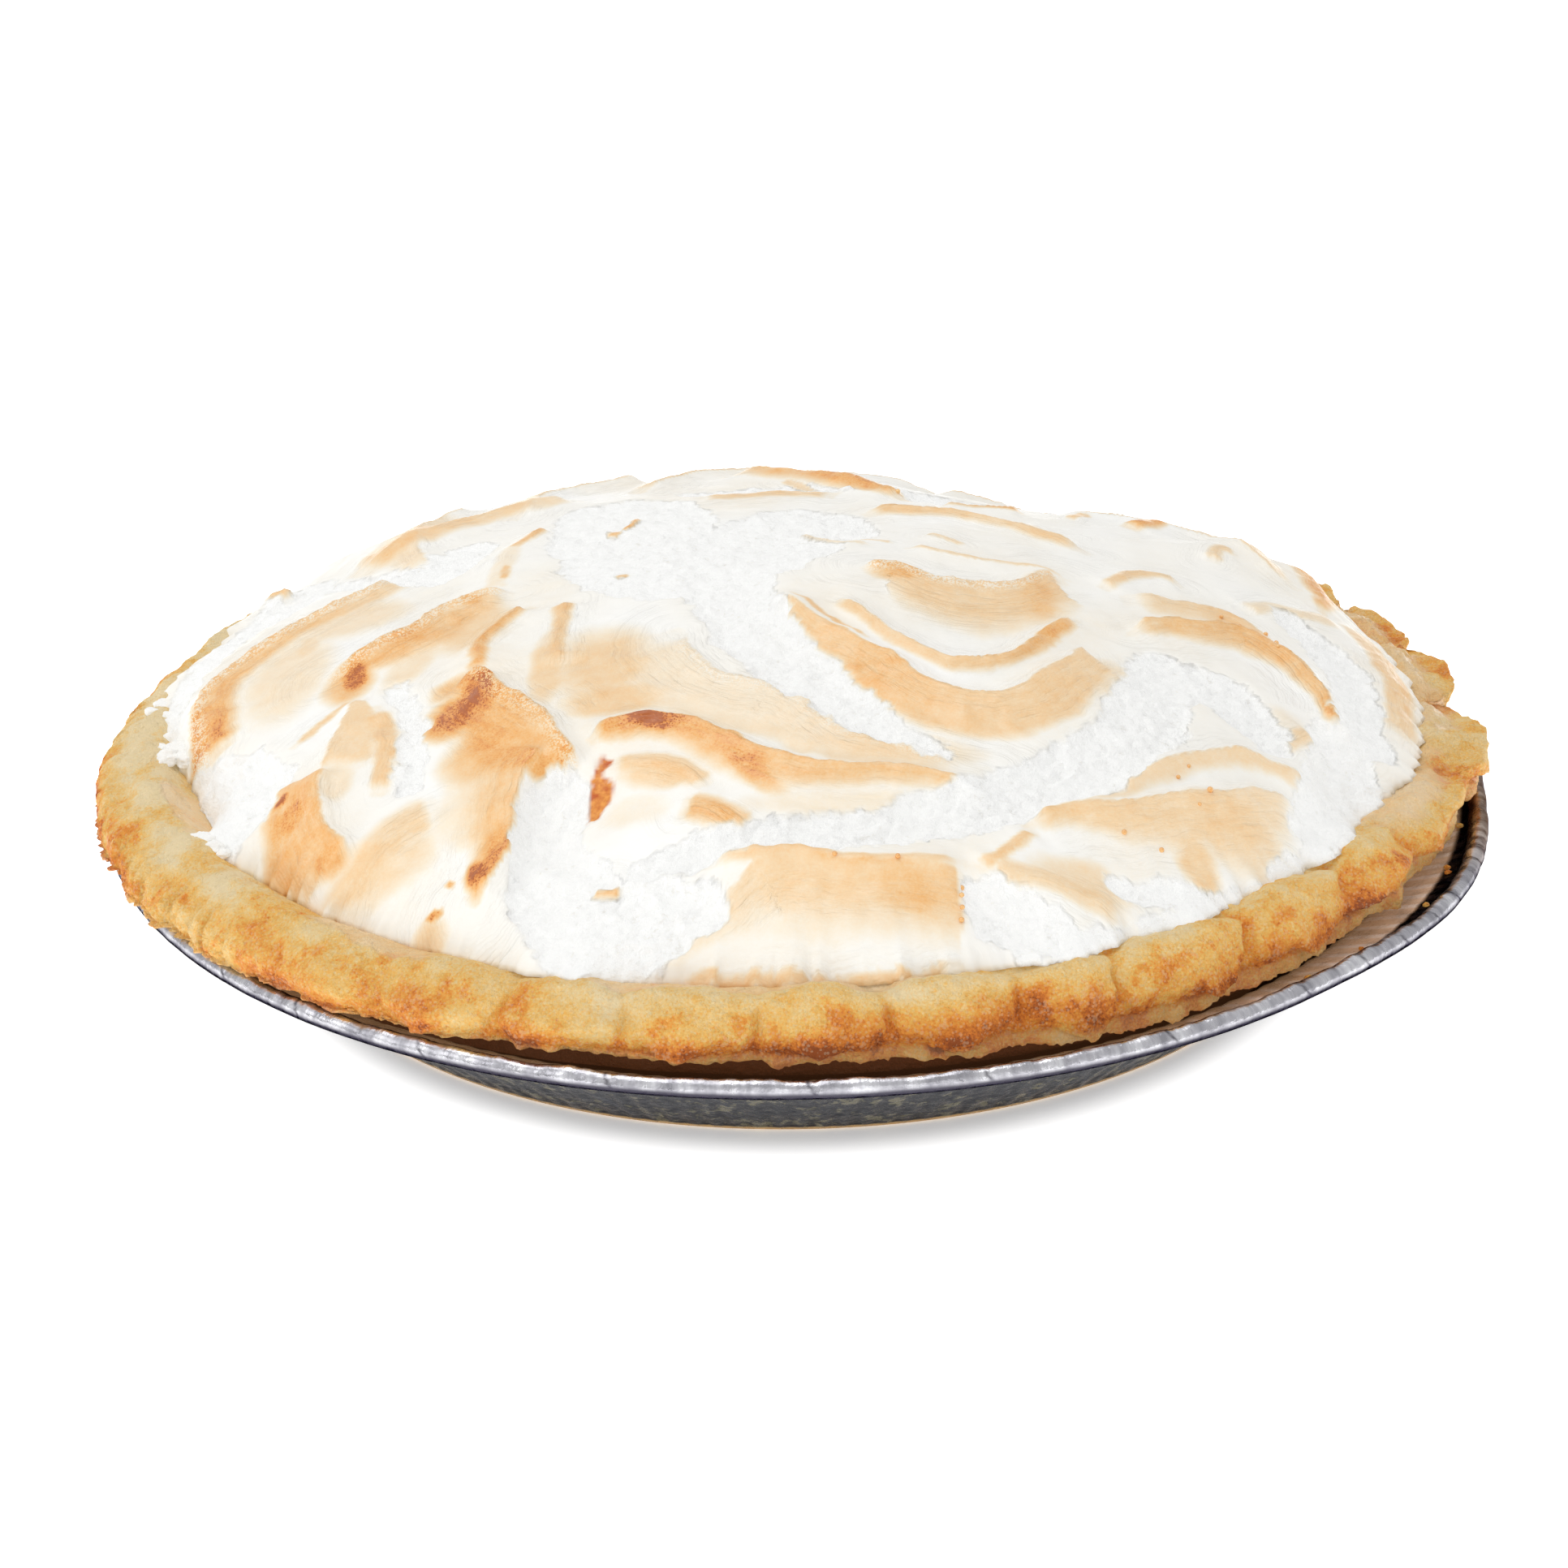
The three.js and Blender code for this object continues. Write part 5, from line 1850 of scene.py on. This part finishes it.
    def dress_fields(self, plan: Array) -> dict[str, Array]:
        """Work out the folds, toast, tears and sweep directions over the whole dome.

        Args:
            plan: Places in plan in millimetres.

        Returns:
            Arrays named height, toast, torn, sweep, combed, frost and amber.
        """
        wander = np.column_stack([mottle(plan, 9.0, 2, 1.0), mottle(plan, 9.0, 2, 2.0)])
        fray = np.column_stack([mottle(plan, 2.2, 3, 3.0), mottle(plan, 2.2, 3, 4.0)])
        bent = plan + 0.9 * wander + 0.35 * fray
        fields = self.comb(plan, bent)
        self.add_spots(bent, fields["toast"])
        torn, sunk = self.tear(plan, plan + 1.6 * wander + 1.1 * fray, fields.pop("kept"))
        toast = np.clip(fields["toast"], 0, 1) ** 0.25
        faint = 0.09 + 0.09 * mottle(plan, 24.0, 2, 5.0)
        distance, along, beyond = self.stain.measure(plan + 0.6 * fray)
        width = np.interp(along, range(len(self.stain_width)), self.stain_width)
        amber = smooth(0.35, -0.35, np.abs(distance) - width) * smooth(0.5, 0.1, beyond)
        fields["height"] = fields["height"] - sunk - 0.7 * amber
        fields["toast"] = np.maximum(toast, faint) * (1 - torn)
        fields["torn"] = torn * (1 - amber)
        fields["amber"] = amber
        return fields

    def close_under(self, obj: Piece, upper: int) -> None:
        """Fold the dome's rim under onto the pastry and close it at the middle.

        Args:
            obj: The dome.
            upper: How many vertices its upper skin has.
        """
        ends = edge_ends(obj)
        loops = np.zeros(len(ends), int)
        index = {tuple(sorted(pair)): k for k, pair in enumerate(ends.tolist())}
        for polygon in obj.data.polygons:
            for key in polygon.edge_keys:
                loops[index[tuple(sorted(key))]] += 1
        select_edges(obj, loops == 1)
        bpy.ops.mesh.extrude_region_move()
        bpy.ops.object.mode_set(mode="OBJECT")
        points = points_of(obj)
        fresh = np.arange(len(points)) >= upper
        angle, _ = polar(points)
        inner = self.outline.meringue(angle) - self.bed_margin
        points[fresh] = np.column_stack([on_circle(angle, inner), np.full_like(inner, self.bed)])[fresh]
        place_points(obj, points)
        bpy.ops.object.mode_set(mode="EDIT")
        bpy.ops.mesh.extrude_region_move()
        bpy.ops.mesh.merge(type="CENTER")
        bpy.ops.mesh.select_all(action="SELECT")
        bpy.ops.mesh.normals_make_consistent(inside=False)
        bpy.ops.object.mode_set(mode="OBJECT")

    @staticmethod
    def calm(ends: Array, sweep: Array) -> Array:
        """Find where the sweep runs on without a jump.

        Args:
            ends: The two vertex numbers of each edge.
            sweep: The sweep's three numbers at each vertex.

        Returns:
            1 where it runs on, falling to 0 along the seams where one fold's sweep meets another's.
        """
        first, second = ends.T
        jump = np.linalg.norm(sweep[first] - sweep[second], axis=1) > 2.0
        weight = np.ones(len(sweep))
        weight[ends[jump].ravel()] = 0.0
        for _ in range(4):
            low = np.minimum(weight[first], weight[second]) + 0.22
            np.minimum.at(weight, first, low)
            np.minimum.at(weight, second, low)
        return weight

    def rim(self, angle: Array) -> tuple[Array, Array, Array]:
        """Work out where the rim lies on the pastry.

        Args:
            angle: Angles in radians.

        Returns:
            How far the rim lies outside its mean line by its broad waves and by its fine ones; its height.
        """
        ring = on_circle(angle, self.noise_radius)
        off = by_bearing(angle, RIM_REACH)
        ragged = around(angle, self.ragged_bearing, self.ragged_spread)
        fine = (1.0 + 0.9 * ragged) * mottle(ring, 4.0, 3, 6.0)
        fine += 0.9 * mottle(ring, 1.8, 2, 7.0)
        height = np.interp(off + fine, *np.array(self.rim_heights).T) - self.rim_sunk
        return off, fine, height

    def build(self, effects: Effects) -> Piece:
        """Build the meringue.

        Args:
            effects: The shared surface effects.

        Returns:
            The dressed piece.
        """
        obj = self.disc()
        flat = points_of(obj)[:, :2] * MM
        share, angle = self.spread(flat)
        off, fine, rim_height = self.rim(angle)
        radius = share * self.outline.meringue(angle) + off * share**10 + fine * share**28
        plan = on_circle(angle, radius)
        fields = self.dress_fields(plan)
        calm = self.calm(edge_ends(obj), fields["sweep"])
        fields["combed"] *= calm
        settle = np.where(share > 0.9999, 0.0, 1 - share**36)
        swell = 0.8 * np.sin(plan[:, 0] / 17 + 1) * np.sin(plan[:, 1] / 14 + 2)
        swell += 0.4 * np.sin(plan[:, 0] / 7.5) * np.cos(plan[:, 1] / 8.5)
        dome = self.dome * np.clip(1 - share**self.fullness, 0, 1) ** self.shoulder
        dome += by_bearing(angle, BACK_RISE) * smooth(0.55, 0.84, share) * (1 - share**24)
        base = self.edge_height + (rim_height - self.edge_height) * share**28
        height = base + dome + settle * (fields["height"] + swell)
        place_points(obj, np.column_stack([plan, height]))
        even(obj, group_of(obj, "seams", (1 - calm) * (share < 0.97)), 10)
        upper = len(share)
        self.close_under(obj, upper)
        count = len(obj.data.vertices)

        def whole(values: Array) -> Array:
            """Stretch values of the upper skin over the whole piece."""
            return np.concatenate([values, np.zeros((count - upper, *values.shape[1:]))])

        torn = fields["torn"] * settle
        displace(obj, 4.5, 0.8, group_of(obj, "rough", whole(torn)))
        displace(obj, 2.2, 0.55, "rough", hard=True)
        displace(obj, 5.0, 0.35, group_of(obj, "skin", whole((1 - fields["torn"]) * settle)))
        for name in ("toast", "torn", "combed", "frost", "amber"):
            paint(obj, name, whole(fields[name]))
        paint_vector(obj, "sweep", whole(fields["sweep"]))
        self.points = points_of(obj)[:upper]
        finish_piece(obj, Slot.MERINGUE, MeringueFinish().build(effects), "meringue")
        return obj

    def height_at(self, place: Place) -> float:
        """Return the height of the meringue's skin at a place in plan."""
        off = np.hypot(self.points[:, 0] - place[0], self.points[:, 1] - place[1])
        return float(self.points[np.argmin(off), 2])


# Syrup and crumbs


def join(pieces: list[Piece], name: str, slot: Slot, material: Material) -> Piece:
    """Join small pieces into one mesh whose object stands at the origin.

    Args:
        pieces: The pieces.
        name: The joined piece's name.
        slot: The record's slot for the piece, handed on to finish_piece.
        material: Its material.

    Returns:
        The joined piece.
    """
    deselect()
    for piece in pieces:
        piece.select_set(True)
    bpy.context.view_layer.objects.active = pieces[0]
    bpy.ops.object.join()
    obj = bpy.context.object
    obj.name = name
    bpy.ops.object.transform_apply(location=True, rotation=True, scale=True)
    finish_piece(obj, slot, material)
    return obj


@dataclass
class Syrup:
    """Beads of syrup that wept out of the meringue."""

    meringue: Meringue
    beads: tuple[Place, ...] = (
        (6, -89), (16, -89), (26, -91), (26, -93), (26, -95), (25.8, -97), (76, 2), (79, -1), (83.5, -1.5),
        (85, -5), (85, -8), (63, -60), (65, -57), (53, -75), (59, -76), (66, -66), (68, -63), (20, 52),
    )
    bead: float = 0.4
    seed: int = 11

    def drop(self, place: Place, size: float) -> Piece:
        """Add one drop, a little longer than it is wide.

        Args:
            place: Its place in plan.
            size: Its radius in millimetres.

        Returns:
            The new drop.
        """
        deselect()
        at = Vector((place[0], place[1], self.meringue.height_at(place) + 0.1)) * MM
        bpy.ops.mesh.primitive_ico_sphere_add(subdivisions=3, radius=size * MM, location=at)
        bpy.ops.transform.resize(value=(1.0, 1.3, 0.9))
        return bpy.context.object

    def build(self) -> Piece:
        """Build the drops.

        Returns:
            The joined drops.
        """
        rng = random.Random(self.seed)
        drops = [self.drop(place, self.bead * rng.uniform(0.8, 1.3)) for place in self.beads]
        return join(drops, "syrup_drops", Slot.MERINGUE, SyrupFinish().build())


@dataclass(frozen=True)
class Dabs:
    """Small dabs of foam that were left on the crust beside the rim, each a few rounded lumps.

    Each lump holds a place in plan and its radius in millimetres.
    """

    lumps: tuple[tuple[Place, float], ...] = (
        ((-108.4, -12.5), 3.0), ((-110.4, -15.0), 2.3), ((-111.6, -11.6), 1.8), ((-106.8, -15.4), 2.2),
        ((-112.6, -13.4), 1.1), ((-99.6, -50.4), 2.2), ((-97.6, -53.4), 1.9), ((-101.4, -49.4), 1.4),
        ((-95.6, -55.6), 1.3), ((-115.4, 6.0), 1.5), ((-113.6, 9.2), 1.9), ((-112.2, 3.6), 1.6),
    )
    height: float = 34.6

    def build(self) -> Piece:
        """Build the dabs in the meringue's finish.

        Returns:
            The joined dabs.
        """
        pieces = []
        for place, size in self.lumps:
            deselect()
            at = Vector((*place, self.height)) * MM
            bpy.ops.mesh.primitive_ico_sphere_add(subdivisions=4, radius=size * MM, location=at)
            for vertex in bpy.context.object.data.vertices:
                lump = noise.fractal(vertex.co / (1.6 * MM) + Vector((*place, 0)), 1.0, 2.0, 4)
                vertex.co *= 1 + 0.3 * lump
            bpy.ops.transform.resize(value=(1.0, 1.0, 0.62))
            pieces.append(bpy.context.object)
        obj = join(pieces, "meringue_dabs", Slot.MERINGUE, bpy.data.materials["toasted_meringue"])
        for name, value in (("toast", 0.03), ("torn", 0.8), ("combed", 0.0), ("frost", 0.0), ("amber", 0.0)):
            paint(obj, name, np.full(len(obj.data.vertices), value))
        paint_vector(obj, "sweep", points_of(obj))
        return obj


@dataclass
class Crumbs:
    """Pastry crumbs that fell on the flange and along the curl."""

    tin: FoilTin
    outline: Outline
    count: int = 70
    seed: int = 5
    inner: float = 118.0
    outer: float = 120.0
    trough: float = 119.3

    def build(self) -> Piece:
        """Scatter the crumbs, in the pastry's finish.

        Returns:
            The joined crumbs.
        """
        rng = random.Random(self.seed)
        crumbs = []
        for _ in range(self.count):
            bearing = rng.choice((rng.uniform(-150, -20), rng.uniform(-125, -100), rng.uniform(0, 360)))
            angle = math.radians(bearing)
            edge = float(self.outline.crust(np.array([angle]))[0])
            radius = rng.uniform(min(edge + 0.8, self.inner), self.outer)
            height = float(self.tin.flange(min(radius, self.trough)))
            size = rng.uniform(0.3, 0.8)
            at = (radius * math.cos(angle), radius * math.sin(angle), height + 0.7 * size)
            deselect()
            bpy.ops.mesh.primitive_ico_sphere_add(subdivisions=2, radius=size * MM, location=Vector(at) * MM)
            crumb = bpy.context.object
            for vertex in crumb.data.vertices:
                vertex.co *= 1 + 0.35 * noise.noise(vertex.co / (0.6 * size * MM) + Vector(at))
            bpy.ops.transform.resize(value=(1.0, rng.uniform(0.6, 1.0), rng.uniform(0.5, 0.8)))
            crumbs.append(crumb)
        obj = join(crumbs, "pastry_crumbs", Slot.PASTRY, bpy.data.materials["baked_pastry"])
        paint(obj, "bake_and_shade", np.full(len(obj.data.vertices), 0.55))
        paint(obj, "glaze", np.zeros(len(obj.data.vertices)))
        return obj


# The studio


@dataclass(frozen=True)
class Softbox:
    """A square light that faces the pie, with its side in millimetres and its power in watts."""

    name: str
    at: tuple[float, float, float]
    size: float
    power: float

    def build(self) -> None:
        """Hang the light."""
        data = bpy.data.lights.new(self.name, "AREA")
        data.shape = "SQUARE"
        data.size = self.size * MM
        data.energy = self.power
        light = bpy.data.objects.new(self.name, data)
        bpy.context.scene.collection.objects.link(light)
        place = Vector(self.at) * MM
        aim = (Vector((0, 0, 30)) * MM - place).to_track_quat("-Z", "Y").to_matrix().to_4x4()
        light.matrix_world = Matrix.Translation(place) @ aim


@dataclass
class Studio:
    """Camera, soft lights and a pale floor."""

    eye: tuple[float, float, float] = (0.0, -716.5, 336.55)
    target: tuple[float, float, float] = (-2.1, 0.0, 21.2)
    roll: float = -1.0
    lens: float = 100.0
    sky: float = 0.665
    lights: tuple[Softbox, ...] = (
        Softbox("top_softbox", (-150, 150, 900), 700, 2.36),
        Softbox("left_softbox", (-700, -350, 500), 500, 0.86),
        Softbox("front_softbox", (100, -900, 260), 600, 0.75),
    )

    def camera(self) -> None:
        """Add the scene's camera."""
        data = bpy.data.cameras.new("camera")
        data.lens = self.lens
        data.sensor_width = 36.0
        data.clip_start = 0.01
        data.clip_end = 20.0
        camera = bpy.data.objects.new("camera", data)
        bpy.context.scene.collection.objects.link(camera)
        eye = Vector(self.eye) * MM
        aim = (Vector(self.target) * MM - eye).to_track_quat("-Z", "Y").to_matrix().to_4x4()
        camera.matrix_world = Matrix.Translation(eye) @ aim @ Matrix.Rotation(math.radians(self.roll), 4, "Z")
        bpy.context.scene.camera = camera

    @staticmethod
    def floor() -> None:
        """Add the floor."""
        deselect()
        bpy.ops.mesh.primitive_plane_add(size=8.0)
        floor = bpy.context.object
        floor.name = "studio_floor"
        floor.data.materials.append(FloorFinish().build())

    def build(self) -> None:
        """Set up the whole studio."""
        self.camera()
        self.floor()
        for light in self.lights:
            light.build()
        world = bpy.data.worlds.new("studio")
        world.use_nodes = True
        background = world.node_tree.nodes["Background"]
        background.inputs["Color"].default_value = WHITE
        background.inputs["Strength"].default_value = self.sky
        scene = bpy.context.scene
        scene.world = world
        scene.view_settings.view_transform = "Standard"
        scene.view_settings.look = "None"


def main() -> None:
    """Build the pie from the tin up and log each piece."""
    logging.basicConfig(level=logging.INFO, format="%(message)s")
    Studio().build()
    log.info("studio ready")
    effects = Effects()
    outline = Outline()
    tin = FoilTin()
    tin.build(effects)
    Pastry(outline, tin).build(effects)
    meringue = Meringue(outline)
    meringue.build(effects)
    Syrup(meringue).build()
    Dabs().build()
    Crumbs(tin, outline).build()
    deselect()


if __name__ == "__main__":
    main()
